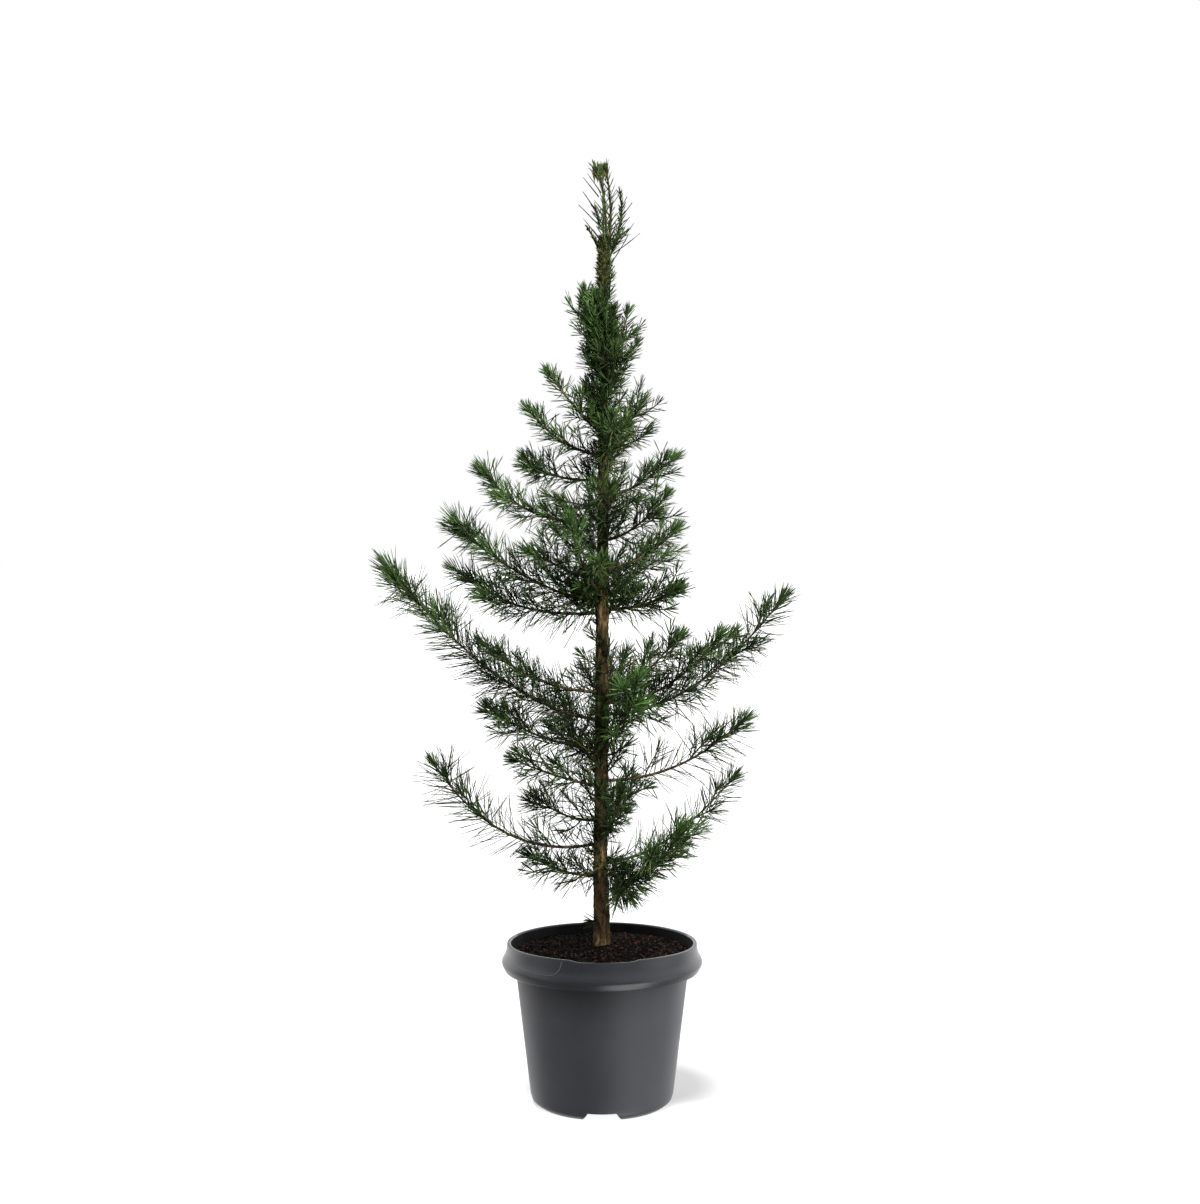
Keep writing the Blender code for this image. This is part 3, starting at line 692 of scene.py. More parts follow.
TRUNK_FOOT = 0.1500  # just under the soil's surface, so that no gap shows
TRUNK_BASE = 0.1548
TRUNK_TIP = 0.8380
TRUNK_RADII = (0.0068, 0.0025)
FLARE, FLARE_HIGH = 0.0024, 0.0100
BARK = (  # height, radius over the bark, sideways place of its middle
    (0.150, 0.0086, -0.0005), (0.175, 0.0082, -0.0005), (0.195, 0.0077, -0.0006),
    (0.245, 0.0065, -0.0014), (0.320, 0.0064, -0.0006), (0.450, 0.0065, 0.0002),
    (0.490, 0.0059, 0.0002), (0.600, 0.0049, 0.0010), (0.720, 0.0037, 0.0020), (0.838, 0.0026, 0.0020),
)
LEAN = (  # height, place to the right and to the back
    (0.150, 0.0030, 0.0000), (0.200, 0.0022, 0.0004), (0.265, 0.0004, 0.0008),
    (0.330, 0.0040, 0.0004), (0.430, 0.0040, -0.0006), (0.490, 0.0006, -0.0008),
    (0.600, 0.0012, 0.0000), (0.720, 0.0020, 0.0006), (0.838, 0.0010, 0.0000),
    (0.924, -0.0025, 0.0000),
)


def trunk_centre(height):
    low, high = LEAN[0], LEAN[-1]
    for low, high in zip(LEAN, LEAN[1:]):
        if height <= high[0]:
            break
    ease = smooth(low[0], high[0], height)
    return Vector((*(a + (b - a) * ease for a, b in zip(low[1:], high[1:])), height))


def trunk_radius(height):
    share = (height - TRUNK_BASE) / (TRUNK_TIP - TRUNK_BASE)
    taper = TRUNK_RADII[0] + (TRUNK_RADII[1] - TRUNK_RADII[0]) * share
    return taper + FLARE * min(1.0, math.exp(-(height - TRUNK_BASE) / FLARE_HIGH))


def bark_at(height):
    """The bark's radius and the place of its middle at a height."""
    high, wide, aside = zip(*BARK)
    centre = Vector((np.interp(height, high, aside), trunk_centre(height).y, height))
    return centre, float(np.interp(height, high, wide))


# Limbs: side, root height on the trunk (mm), bearing in degrees (0 right, 90 back), reach and
# rise (mm), where it turns up, how high it is there, and its bare share, in hundredths
LIMBS = (
    ("left", 222, 168, 82, 24, 60, -25, 0),
    ("left", 254, 190, 174, 94, 60, -25, 36),
    ("left", 276, 158, 78, 26, 60, -25, 0),
    ("left", 308, 203, 106, 37, 50, 30, 0),
    ("left", 346, 168, 125, 45, 62, 0, 26),
    ("left", 374, 185, 228, 170, 44, 3, 36),
    ("left", 402, 203, 136, 58, 55, 0, 26),
    ("left", 480, 170, 141, 39, 64, -25, 26),
    ("left", 490, 191, 158, 86, 45, 8, 30),
    ("left", 510, 216, 94, 36, 50, 30, 0),
    ("left", 574, 178, 127, 56, 58, -35, 26),
    ("left", 610, 156, 91, 28, 70, -10, 0),
    ("left", 634, 190, 81, 54, 60, 10, 0),
    ("left", 654, 210, 68, 68, 50, 30, 0),
    ("left", 735, 184, 20, 74, 80, 20, 0),
    ("right", 208, 318, 110, 81, 50, 5, 20),
    ("right", 236, 10, 143, 92, 42, -5, 30),
    ("right", 315, 353, 145, 71, 55, 0, 36),
    ("right", 380, 357, 184, 130, 50, 0, 30),
    ("right", 392, 335, 128, 80, 54, 0, 26),
    ("right", 404, 24, 86, 62, 50, 5, 0),
    ("right", 484, 345, 83, 30, 60, -10, 0),
    ("right", 522, 14, 85, 48, 50, 5, 0),
    ("right", 551, 328, 80, 54, 50, 5, 0),
    ("right", 593, 4, 79, 48, 46, 10, 0),
    ("right", 646, 347, 46, 52, 46, 10, 0),
    ("right", 722, 2, 25, 64, 70, 20, 0),
    ("front", 230, 288, 90, -22, 50, -20, 0),
    ("front", 262, 284, 80, 62, 46, 10, 0),
    ("front", 355, 296, 80, 80, 46, 10, 0),
    ("front", 498, 247, 88, 88, 46, 10, 0),
    ("front", 560, 276, 74, 54, 46, 10, 0),
    ("front", 632, 278, 62, 48, 46, 10, 0),
    ("front", 700, 288, 42, 48, 46, 10, 0),
    ("back", 266, 70, 104, 44, 50, 5, 0),
    ("back", 325, 112, 124, 62, 50, 5, 0),
    ("back", 388, 80, 128, 48, 50, 5, 0),
    ("back", 496, 64, 112, 48, 50, 5, 0),
    ("back", 540, 116, 112, 58, 50, 5, 0),
    ("back", 616, 82, 84, 52, 46, 10, 0),
    ("back", 706, 104, 46, 50, 46, 10, 0),
)
SEED, SWAY = 7, 0.03
SWELLING, SWELLING_HIGH = 0.14, 0.0045  # of the trunk under each limb

select_only()
bpy.ops.mesh.primitive_circle_add(vertices=28, radius=1.0, fill_type="NGON")
trunk = bpy.context.object
trunk.name = "trunk_bark"
edit_mode("SELECT")
rings = [TRUNK_FOOT + 0.0025 * k for k in range(8)]
while rings[-1] < TRUNK_TIP - 0.006:
    rings.append(rings[-1] + 0.006)
rings.append(TRUNK_TIP)
size_now, centre_now = 1.0, Vector((0.0, 0.0, 0.0))
for k, height in enumerate(rings):
    centre, radius = bark_at(height)
    if k:
        bpy.ops.mesh.extrude_region_move(TRANSFORM_OT_translate={"value": centre - centre_now})
    else:
        bpy.ops.transform.translate(value=centre - centre_now)
    bpy.ops.transform.resize(value=(radius / size_now, radius / size_now, 1.0), center_override=centre)
    size_now, centre_now = radius, centre
bpy.ops.mesh.select_all(action="SELECT")
bpy.ops.mesh.normals_make_consistent(inside=False)
object_mode()

for vert in trunk.data.vertices:  # lobes of the flare, and a swelling under each limb
    centre = bark_at(vert.co.z)[0]
    out = Vector((vert.co.x - centre.x, vert.co.y - centre.y, 0.0))
    turn = math.atan2(out.y, out.x)
    flare = min(1.0, math.exp(-(vert.co.z - TRUNK_BASE) / FLARE_HIGH))
    swell = 1.0 + 0.06 * flare * math.cos(3 * turn + 0.6)
    for side, height, bearing, *shape in LIMBS:
        near = math.exp(-(((vert.co.z - height / 1000 + 0.001) / SWELLING_HIGH) ** 2))
        facing = max(0.0, math.cos(turn - math.radians(bearing)))
        swell += SWELLING * near * (0.35 + 0.65 * facing**3)
    vert.co.x, vert.co.y = centre.x + out.x * swell, centre.y + out.y * swell

finer = trunk.modifiers.new("finer", "SUBSURF")
finer.levels = finer.render_levels = 1
apply(trunk, finer)
displace(trunk, "CLOUDS", 0.0050, 0.0018)
displace(trunk, "VORONOI", 0.0030, 0.0012)
shade_smooth(trunk, 60)


def bark_material(name, dark, mid, tan, scale, crown_shade=0.0):
    """Fissured bark: long vertical flakes of olive-brown and tan with dark cracks, and painted shade
    of the crown: darker higher up and more tan low down."""
    bark = new_material(name, mid, 0.85, 0.15)
    place = object_place(bark, (1.0, 1.0, 0.32))
    flake = noise(bark, place, scale, 6.0, Roughness=0.65, Distortion=0.6)
    patch = noise(bark, place, scale * 0.30, 3.0)
    blend = maths(bark, "MULTIPLY_ADD", patch, 0.55, maths(bark, "MULTIPLY", flake, 0.45))
    # painted shade of the crown: lighter low down, darker higher up
    height_shade = map_range(bark, object_axis(bark, "Z"), (0.20, 0.46), (crown_shade, -crown_shade))
    shade = ramp(bark, maths(bark, "ADD", blend, height_shade), (0.40, dark), (0.50, mid), (0.60, tan))
    feed(bark, shade, "Base Color")
    bump(bark, flake, 0.0010)
    return bark


TRUNK_BARK = (0.006, 0.004, 0.002), (0.038, 0.026, 0.012), (0.200, 0.120, 0.055)
coat(trunk, bark_material("trunk_bark", *TRUNK_BARK, 260.0, 0.014))
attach(trunk, "root")
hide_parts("trunk")

# ------------------------------------------------------------------ limbs
# Thin boughs that leave the trunk almost level and turn up, with side twigs that fork to
# left and right, and finer ones on these. The bark is brown and scaly on the boughs and
# olive-green on the young shoots.


class Limb:
    """A limb's curve in its own upright plane, with a little sideways sway."""

    twig_angle = math.radians(46)

    def __init__(self, name, seed, height, bearing, reach, rise, turn, lift, bare):
        self.name, self.seed = name, seed
        self.reach, self.rise = reach, rise
        self.turn, self.lift, self.bare = turn, lift, bare
        self.root = trunk_centre(height)
        a = math.radians(bearing)
        self.out = Vector((math.cos(a), math.sin(a), 0.0))
        self.side = Vector((-self.out.y, self.out.x, 0.0))
        self.sway = self.reach * random.Random(SEED * 1000 + seed).uniform(-SWAY, SWAY)
        self.start = self.share_at_trunk(0.0022 if self.bare else 0.0017)

    def point(self, t):
        out = self.reach * (2 * (1 - t) * t * self.turn + t * t)
        up = self.rise * (2 * (1 - t) * t * self.lift + t * t)
        aside = self.sway * math.sin(math.pi * t)
        return self.root + self.out * out + self.side * aside + Vector((0.0, 0.0, up))

    def share_at_trunk(self, radius):
        t = 0.0
        while True:
            here = self.point(t)
            ahead = (self.point(t + 0.01) - self.point(max(0.0, t - 0.01))).normalized()
            away = (here - trunk_centre(here.z)).xy.length
            if away >= trunk_radius(here.z) + 0.0003 + radius * abs(ahead.z):
                return t
            t += 0.0005

    def length(self, t0, t1):
        places = [self.point(t0 + (t1 - t0) * k / 12) for k in range(13)]
        return sum((b - a).length for a, b in zip(places, places[1:]))


limbs, counts = [], {}
for seed, (side, height, bearing, reach, rise, *shares) in enumerate(LIMBS):
    counts[side] = counts.get(side, 0) + 1
    shares = [share / 100 for share in shares]
    name = f"{side}_{counts[side]}"
    limbs.append(Limb(name, seed, height / 1000, bearing, reach / 1000, rise / 1000, *shares))

LIMB_PLACES = np.array([l.point(l.start + (1 - l.start) * k / 30)[:] for l in limbs for k in range(31)])
LIMB_OWNERS = np.repeat(np.arange(len(limbs)), 31)
TURN = 2.39996  # the golden angle, from each shoot or needle to the next


def own_space(index, points, room=0.003):
    """Whether points are nearer to their own limb than to any other."""
    apart = np.linalg.norm(np.array([p[:] for p in points])[:, None] - LIMB_PLACES[None], axis=2)
    mine = LIMB_OWNERS == index
    return bool((apart[:, mine].min(axis=1) + room <= apart[:, ~mine].min(axis=1)).all())


def along(curve, share):
    spot = share * (len(curve) - 1)
    k = min(int(spot), len(curve) - 2)
    return curve[k].lerp(curve[k + 1], spot - k), (curve[k + 1] - curve[k]).normalized()


def turned_off(direction, turn, angle):
    """A direction at an angle to another, turned round it from its upper side."""
    level = Vector((0.0, 1.0, 0.0)) if abs(direction.z) > 0.8 else Vector((0.0, 0.0, 1.0))
    first = direction.cross(level).normalized()
    second = first.cross(direction).normalized()
    aside = second * math.cos(turn) + first * math.sin(turn)
    return (direction * math.cos(angle) + aside * math.sin(angle)).normalized()


def side_twigs(limb, index, stem, spread, rng):
    """The limb's main side twigs, by turns left and right, each in the limb's own space."""
    length = limb.length(limb.start, 1.0)
    count = min(3, int(length / 0.042))
    curves = []
    for k in range(count):
        share = 0.22 + 0.56 * (k + rng.uniform(0.2, 0.8)) / count
        root, direction = along(stem, share)
        turn = math.radians(rng.uniform(60, 100)) * (1 if k % 2 else -1)
        reach = (0.022 + 0.30 * length * (1.0 - share)) * rng.uniform(0.85, 1.1) * spread
        for part in (1.0, 0.6):
            heading = turned_off(direction, turn, limb.twig_angle)
            middle = root + heading * reach * part * 0.5
            ending = middle + (heading + direction * 0.35).normalized() * reach * part * 0.5
            if own_space(index, [middle, ending, ending + (ending - middle) * 0.2]):
                curves.append([root, middle, ending])
                break
    return curves


def fine_twigs(curve, count, low, high, shortest, longest, rng, angle=48, keep_to=None):
    """Short shoots all round a stem, or on one side, bending to its tip and a little upwards."""
    curves = []
    for k in range(count):
        share = low + (high - low) * (k + rng.uniform(0.1, 0.9)) / count
        root, direction = along(curve, share)
        turn = k * TURN + rng.uniform(-0.5, 0.5)
        if keep_to:  # on an upright stem a turn of three quarters is a bearing of 0
            turn = 1.5 * math.pi + keep_to[0] + keep_to[1] * math.sin(turn)
        reach = rng.uniform(shortest, longest)
        heading = turned_off(direction, turn, math.radians(angle * rng.uniform(0.75, 1.2)))
        middle = root + heading * reach * 0.5
        onward = heading + direction * 0.5 + Vector((0, 0, 0.3))
        ending = middle + onward.normalized() * reach * 0.5
        curves.append([root, middle, ending])
    return curves


# How each limb is dressed: needle length on its old part (mm), pairs of needles per metre
# there, length of its young end (mm), needle length there (mm), number of fine shoots, the
# share of the limb where these end, how long its side twigs are, and its shade
DRESS = {
    "left_1": (28, 520, 14, 19, 7, 0.90, 0.9, "dark"),
    "left_2": (41, 530, 15, 21, 1, 0.40, 0.4, "old"),
    "left_3": (29, 460, 16, 19, 5, 0.90, 0.9, "dark"),
    "left_4": (28, 420, 14, 19, 6, 0.90, 0.9, "dark"),
    "left_5": (30, 500, 26, 20, 5, 0.80, 0.8, "body"),
    "left_6": (38, 1150, 105, 28, 9, 0.60, 0.9, "body"),
    "left_7": (30, 480, 8, 20, 4, 0.60, 0.6, "dark"),
    "left_8": (30, 560, 28, 22, 7, 0.70, 1.0, "body"),
    "left_9": (30, 780, 65, 25, 9, 0.60, 1.0, "body"),
    "left_10": (25, 560, 25, 19, 6, 0.90, 0.8, "body"),
    "left_11": (29, 460, 35, 21, 5, 0.55, 0.8, "lush"),
    "left_12": (25, 520, 15, 18, 6, 0.80, 0.9, "body"),
    "left_13": (22, 520, 30, 15, 3, 0.45, 0.7, "lush"),
    "left_14": (21, 520, 28, 14, 3, 0.45, 0.7, "lush"),
    "left_15": (19, 860, 30, 15, 8, 0.70, 0.4, "lush"),
    "right_1": (28, 900, 60, 21, 9, 0.80, 0.9, "lush"),
    "right_2": (34, 440, 10, 20, 0, 0.40, 0.4, "old"),
    "right_3": (37, 420, 14, 20, 1, 0.40, 0.5, "old"),
    "right_4": (35, 600, 28, 22, 7, 0.50, 0.6, "old"),
    "right_5": (30, 600, 30, 20, 8, 0.85, 1.0, "body"),
    "right_6": (25, 680, 20, 18, 9, 0.90, 0.8, "body"),
    "right_7": (23, 600, 20, 17, 9, 0.90, 0.9, "body"),
    "right_8": (23, 500, 22, 17, 6, 0.85, 0.8, "lush"),
    "right_9": (22, 500, 20, 16, 6, 0.90, 0.8, "body"),
    "right_10": (23, 500, 20, 17, 7, 0.70, 0.8, "body"),
    "right_11": (21, 760, 15, 16, 9, 0.90, 0.6, "body"),
    "right_12": (14, 760, 20, 13, 4, 0.80, 0.4, "body"),
    "front_1": (20, 1300, 20, 19, 10, 0.90, 0.6, "dark"),
    "front_2": (17, 650, 20, 15, 3, 0.80, 0.4, "dark"),
    "front_3": (24, 1480, 30, 19, 6, 0.90, 0.7, "new"),
    "front_4": (21, 760, 30, 17, 6, 0.90, 0.8, "lush"),
    "front_5": (21, 780, 20, 17, 10, 0.90, 0.9, "body"),
    "front_6": (20, 680, 20, 16, 5, 0.90, 0.6, "lush"),
    "front_7": (19, 860, 15, 16, 8, 0.90, 0.5, "body"),
    "back_1": (22, 520, 20, 17, 6, 0.90, 0.7, "old"),
    "back_2": (26, 640, 20, 19, 10, 0.90, 1.0, "old"),
    "back_3": (26, 640, 20, 19, 10, 0.90, 1.0, "old"),
    "back_4": (24, 540, 20, 18, 8, 0.90, 1.0, "old"),
    "back_5": (24, 520, 20, 18, 7, 0.90, 1.0, "old"),
    "back_6": (21, 680, 20, 17, 9, 0.90, 0.8, "old"),
    "back_7": (19, 760, 15, 16, 8, 0.90, 0.5, "old"),
}
LONG_NEEDLED = ("left_8", "left_9", "right_7")  # sparse long needles on their old part too
# Fine shoots straight from the trunk: from and to a height, how many, the bearings that
# they keep to (middle and to either side, degrees), shortest and longest, angle from the
# trunk, needle length (mm) and shade
TRUNK_SHOOTS = (
    (0.180, 0.250, 6, 290, 60, 0.010, 0.020, 62, 20, "old"),
    (0.250, 0.400, 18, 300, 70, 0.012, 0.030, 58, 20, "old"),
    (0.205, 0.400, 14, 180, 60, 0.016, 0.040, 60, 24, "old"),
    (0.400, 0.480, 6, 90, 180, 0.018, 0.030, 62, 19, "old"),
    (0.478, 0.500, 12, 185, 45, 0.020, 0.050, 76, 18, "dark"),
    (0.478, 0.502, 8, 355, 45, 0.020, 0.045, 76, 18, "dark"),
    (0.480, 0.620, 25, 90, 180, 0.018, 0.036, 58, 18, "body"),
    (0.620, 0.740, 37, 90, 180, 0.016, 0.032, 40, 16, "body"),
    (0.665, 0.735, 13, 90, 180, 0.020, 0.036, 50, 16, "body"),
    (0.650, 0.695, 13, 90, 180, 0.022, 0.034, 66, 15, "body"),
    (0.725, 0.775, 26, 90, 180, 0.014, 0.026, 40, 15, "body"),
    (0.738, 0.776, 16, 180, 50, 0.020, 0.034, 48, 15, "lush"),
    (0.728, 0.758, 16, 0, 50, 0.012, 0.022, 40, 14, "body"),
    (0.788, 0.815, 3, 355, 25, 0.012, 0.016, 45, 10, "body"),
)
# Longer shoots of their own: root height, bearing, reach, rise, needle length (mm), pairs
# per metre and shade
OWN_SHOOTS = (
    (0.706, 350, 0.037, 0.050, 13, 600, "body"),
    (0.425, 170, 0.032, 0.022, 16, 600, "body"),
    (0.584, 200, 0.068, 0.014, 16, 600, "body"),
    (0.640, 350, 0.052, 0.022, 14, 300, "old"),
    (0.668, 185, 0.020, 0.006, 9, 1600, "old"),
    (0.340, 320, 0.034, 0.022, 22, 600, "body"),
    (0.305, 312, 0.028, 0.014, 18, 500, "old"),
    (0.240, 335, 0.032, -0.010, 18, 600, "old"),
    (0.179, 200, 0.021, -0.004, 11, 1400, "old"),
)
# The leader's steep shoots: points (x, y, height), thickness in mm, and how long and how
# many per metre their spreading needles are
LEADER_SHOOTS = (
    (((5.2, 0, 822), (4.2, 0, 862), (0.7, 0, 898), (-4.9, 0, 913), (-7.4, 0, 920)), 1.5, 20, 250),
    (((6.0, -1, 822), (8.8, -1, 866), (7.9, -1, 888), (5.4, -1, 906), (3.8, -1, 920)), 1.5, 18, 230),
    (((7.0, -1, 826), (12.6, -2, 842), (18.0, -2, 862), (19.6, -2, 878), (17.2, -2, 894)), 1.0, 11, 520),
    (((3.0, 1, 820), (-4.2, 2, 842), (-13.6, 1, 857)), 1.6, 7, 700),
    (((1.8, 2, 852), (-4.0, 4, 866), (-6.6, 4, 878)), 0.8, 13, 260),
    (((7.0, -1, 834), (13.0, -2, 844), (21.0, -2, 852)), 0.5, 18, 330),
    (((5.0, 2, 830), (8.0, 8, 856), (9.0, 11, 880)), 0.9, 14, 170),
    (((4.0, -2, 832), (1.0, -9, 858), (1.0, -12, 886)), 0.7, 15, 110),
)
# The leader's longest single needles: from and to a place (x, height) in mm
LONG_NEEDLES = (
    (10.8, 832, 37.3, 852), (14.2, 841, 31.4, 862), (15.3, 864, 29.5, 882), (16.7, 876, 24.6, 888),
    (9.8, 824, 25.5, 850), (8.0, 845, 27.0, 868), (-1.0, 858, -23.0, 880), (-1.0, 864, -16.0, 889),
    (-3.2, 888, -18.7, 907), (-1.0, 892, -14.7, 911), (-2.0, 846, -18.7, 867), (-4.0, 872, -19.0, 893),
)

# The wood's radius at each kind of shoot's root and tip
BOUGH, SIDE_TWIG, FINE, FINEST = (0.0017, 0.0007), (0.0010, 0.0006), (0.0008, 0.0005), (0.0007, 0.0005)
TRUNK_SHOOT, OWN_SHOOT, LONG_NEEDLE = (0.0009, 0.0006), (0.0012, 0.0006), (0.0007, 0.0003)

# The wood is a list of curves with their two radii. A dressing is a curve, from and to a share
# of it, pairs of needles per metre (or minus their count), their angle from the stem and their
# length (mm) at both ends, and a shade.
boughs, twigs, dressings = [], [], []


def dress_stem(curve, old_long, pairs, young_from, young_long, shade, tip_shade, burst):
    """Spread needles on a stem's old part, close ones on its young end, and a burst at its tip."""
    dressings.append((curve, 0.06, young_from, pairs, 66, 48, old_long, old_long, shade))
    dressings.append((curve, young_from, 1.0, 1150, 50, 24, young_long * 1.15, young_long, tip_shade))
    dressings.append((curve, 0.97, 1.0, -burst, 32, 6, young_long, young_long, tip_shade))


for index, limb in enumerate(limbs):
    rng = random.Random(SEED * 100 + limb.seed)
    old_long, pairs, young, young_long, shoots, shoots_end, spread, shade = DRESS[limb.name]
    begin = limb.bare if limb.bare else limb.start
    steps = max(3, min(7, round(limb.length(begin, 1.0) / 0.02)))
    stem = [limb.point(begin + (1 - begin) * k / steps) for k in range(steps + 1)]
    total = limb.length(0.0, 1.0)
    ends = 1 - 0.75 * young_long / 1000 / total  # the last needles fill the limb's reach
    whole = [limb.point(ends * k / 24) for k in range(25)]
    boughs.append((whole, *BOUGH))
    tip_shade = {"old": "body", "dark": "body", "body": "tip"}.get(shade, shade)
    young_from = max(0.3, 1 - young / 1000 / total)
    dress_stem(whole, old_long, pairs, young_from, young_long, "old", tip_shade, 18)
    if limb.name in LONG_NEEDLED:
        dressings.append((whole, 0.10, 0.70, 170, 64, 50, 42, 38, "dark"))
    for curve in side_twigs(limb, index, stem, spread, rng):
        twigs.append((curve, *SIDE_TWIG))
        reach = (curve[2] - curve[1]).length * 2
        dress_stem(curve, old_long * 0.92, pairs * 0.9, 0.72, young_long, "body", tip_shade, 9)
        for fine in fine_twigs(curve, round(reach / 0.018), 0.2, 0.9, 0.008, 0.018, rng):
            twigs.append((fine, *FINEST))
            dressings.append((fine, 0.1, 1.0, 380, 62, 32, old_long * 0.9, young_long * 0.9, shade))
    for fine in fine_twigs(whole, shoots, 0.12, shoots_end, 0.012, 0.030, rng):
        twigs.append((fine, *FINE))
        dressings.append((fine, 0.1, 1.0, 420, 62, 32, old_long * 0.95, young_long, shade))
        dressings.append((fine, 0.96, 1.0, -4, 30, 8, young_long * 0.9, young_long * 0.9, shade))

rng = random.Random(31)
for low, high, count, bearing, either_side, shortest, longest, angle, long, shade in TRUNK_SHOOTS:
    spine = [trunk_centre(low + (high - low) * k / 8) for k in range(9)]
    keep_to = (math.radians(bearing), math.radians(either_side))
    for fine in fine_twigs(spine, count, 0.0, 1.0, shortest, longest, rng, angle, keep_to):
        twigs.append((fine, *TRUNK_SHOOT))
        dressings.append((fine, 0.15, 1.0, 600, 56, 28, long * 1.15, long * 0.9, shade))
        dressings.append((fine, 0.95, 1.0, -4, 30, 8, long * 0.85, long * 0.85, shade))
for height, bearing, reach, rise, long, pairs, shade in OWN_SHOOTS:
    own = Limb("own", 99, height, bearing, reach, rise, 0.5, 0.05, 0.0)
    ends = max(0.5, 1 - 0.75 * long / 1000 / own.length(0.0, 1.0))
    curve = [own.point(ends * k / 6) for k in range(7)]
    twigs.append((curve, *OWN_SHOOT))
    dress_stem(curve, long * 1.2, pairs, 0.6, long, "old", shade, 7)
for points, thick, long, pairs in LEADER_SHOOTS:
    curve = [Vector(point) / 1000 for point in points]
    twigs.append((curve, thick / 1000, thick / 1700))
    dressings.append((curve, 0.08, 0.95, pairs * 1.7, 42, 26, long * 1.1, long * 0.65, "leader"))
    dressings.append((curve, 0.0, 1.0, 1000, 16, 9, 6, 6, "leader"))
TUFT = ((-7.4, 0.0), (-4.5, 0.5), (-1.5, -0.5), (1.2, 0.5), (3.8, -1.0))
for x, y in TUFT:  # the flat tuft on top
    curve = [Vector((x, y, 902)) / 1000, Vector((x, y, 914)) / 1000]
    dressings.append((curve, 0.0, 1.0, -24, 14, 8, 10, 10, "olive"))
STUB_FOOT, STUB_STEP, STUB = 0.780, 0.005, (0.0052, 0.0036)
stub = [trunk_centre(STUB_FOOT + STUB_STEP * k) for k in range(14)]  # scales close to the stem
twigs.append((stub, *STUB))
dressings.append((stub, 0.25, 1.0, 9000, 52, 40, 11, 8, "scale"))
dressings.append((stub, 0.25, 1.0, 3000, 54, 42, 11, 8, "body"))
for x0, z0, x1, z1 in LONG_NEEDLES:
    start, ending = Vector((x0, -1.0, z0)) / 1000, Vector((x1, -3.0, z1)) / 1000
    middle = start.lerp(ending, 0.5) + Vector((0.0006, 0.0, -0.0006))
    twigs.append(([start, middle, ending], *LONG_NEEDLE))


def wood_piece(name, curves, sides, material):
    """Tapering round twigs with uneven bark, made one mesh."""
    strands = []
    for points, low, high in curves:
        last = len(points) - 1
        strands.append([(place, low + (high - low) * k / last) for k, place in enumerate(points)])
    wood = round_strands(name, strands, sides, 3)
    edit_mode("SELECT")
    bpy.ops.mesh.normals_make_consistent(inside=False)
    object_mode()
    displace(wood, "CLOUDS", 0.0030, 0.0006)
    shade_smooth(wood, 60)
    coat(wood, material)
    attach(wood, "root")
    return wood


BOUGH_BARK = (0.012, 0.010, 0.006), (0.040, 0.031, 0.018), (0.120, 0.080, 0.042)
bough_bark = bark_material("bough_bark", *BOUGH_BARK, 420.0)
bough_wood = wood_piece("bough_bark", boughs, 2, bough_bark)
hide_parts(*[f"bough_{limb.name}" for limb in limbs if limb.bare])
SHOOT_BARK = (0.010, 0.012, 0.006), (0.027, 0.032, 0.014), (0.058, 0.060, 0.027)
wood_piece("twig_shoots", twigs, 1, bark_material("twig_shoots", *SHOOT_BARK, 500.0))

# ------------------------------------------------------------------ needles
# Long, slim needles in pairs, all round every shoot: wide-spread and sparse on old wood,
# close and pointing forward at the tips. Dark green, and fresh green on the sprays that
# have just grown.

# One needle of unit length: a three-sided blade, thickest a third of the way up
select_only()
bpy.ops.mesh.primitive_cone_add(vertices=3, radius1=0.8, radius2=1.0, depth=0.45, end_fill_type="NGON")
blade = bpy.context.object
edit_mode("SELECT")
bpy.ops.transform.translate(value=(0.0, 0.0, 0.225))
pick(blade, blade.data.polygons, lambda face: face.center.z > 0.44)
bpy.ops.mesh.extrude_region_move(TRANSFORM_OT_translate={"value": (0, 0, 0.38)})
bpy.ops.transform.resize(value=(0.78, 0.78, 1.0), center_override=(0, 0, 0.83))
bpy.ops.mesh.extrude_region_move(TRANSFORM_OT_translate={"value": (0, 0, 0.17)})
bpy.ops.mesh.merge(type="CENTER")
bpy.ops.mesh.select_all(action="SELECT")
bpy.ops.mesh.quads_convert_to_tris()
bpy.ops.mesh.normals_make_consistent(inside=False)
NEEDLE_VERTS, NEEDLE_FACES = take_shape(blade)
NEEDLE_THICK = 0.00039  # half the width
FULLER = 1.12  # how many times more pairs of needles grow than the tables say


def curve_places(curve, shares):
    """Places and directions along a curve, at shares of its length."""
    points = np.array([p[:] for p in curve])
    legs = np.linalg.norm(np.diff(points, axis=0), axis=1)
    run = np.concatenate([[0.0], np.cumsum(legs)]) / legs.sum()

    def places(shares):
        return np.stack([np.interp(shares, run, points[:, i]) for i in range(3)], axis=1)

    way = places(np.minimum(shares + 0.02, 1.0)) - places(np.maximum(shares - 0.02, 0.0))
    return places(shares), way / np.linalg.norm(way, axis=1)[:, None], legs.sum()


def unit(rows):
    return rows / np.maximum(np.linalg.norm(rows, axis=1), 1e-9)[:, None]


def square_to(way):
    """Two unit vectors square to each direction, the second on its upper side."""
    level = np.where(np.abs(way[:, 2:3]) > 0.8, [[0.0, 1.0, 0.0]], [[0.0, 0.0, 1.0]])
    first = unit(np.cross(way, level))
    return first, np.cross(first, way)


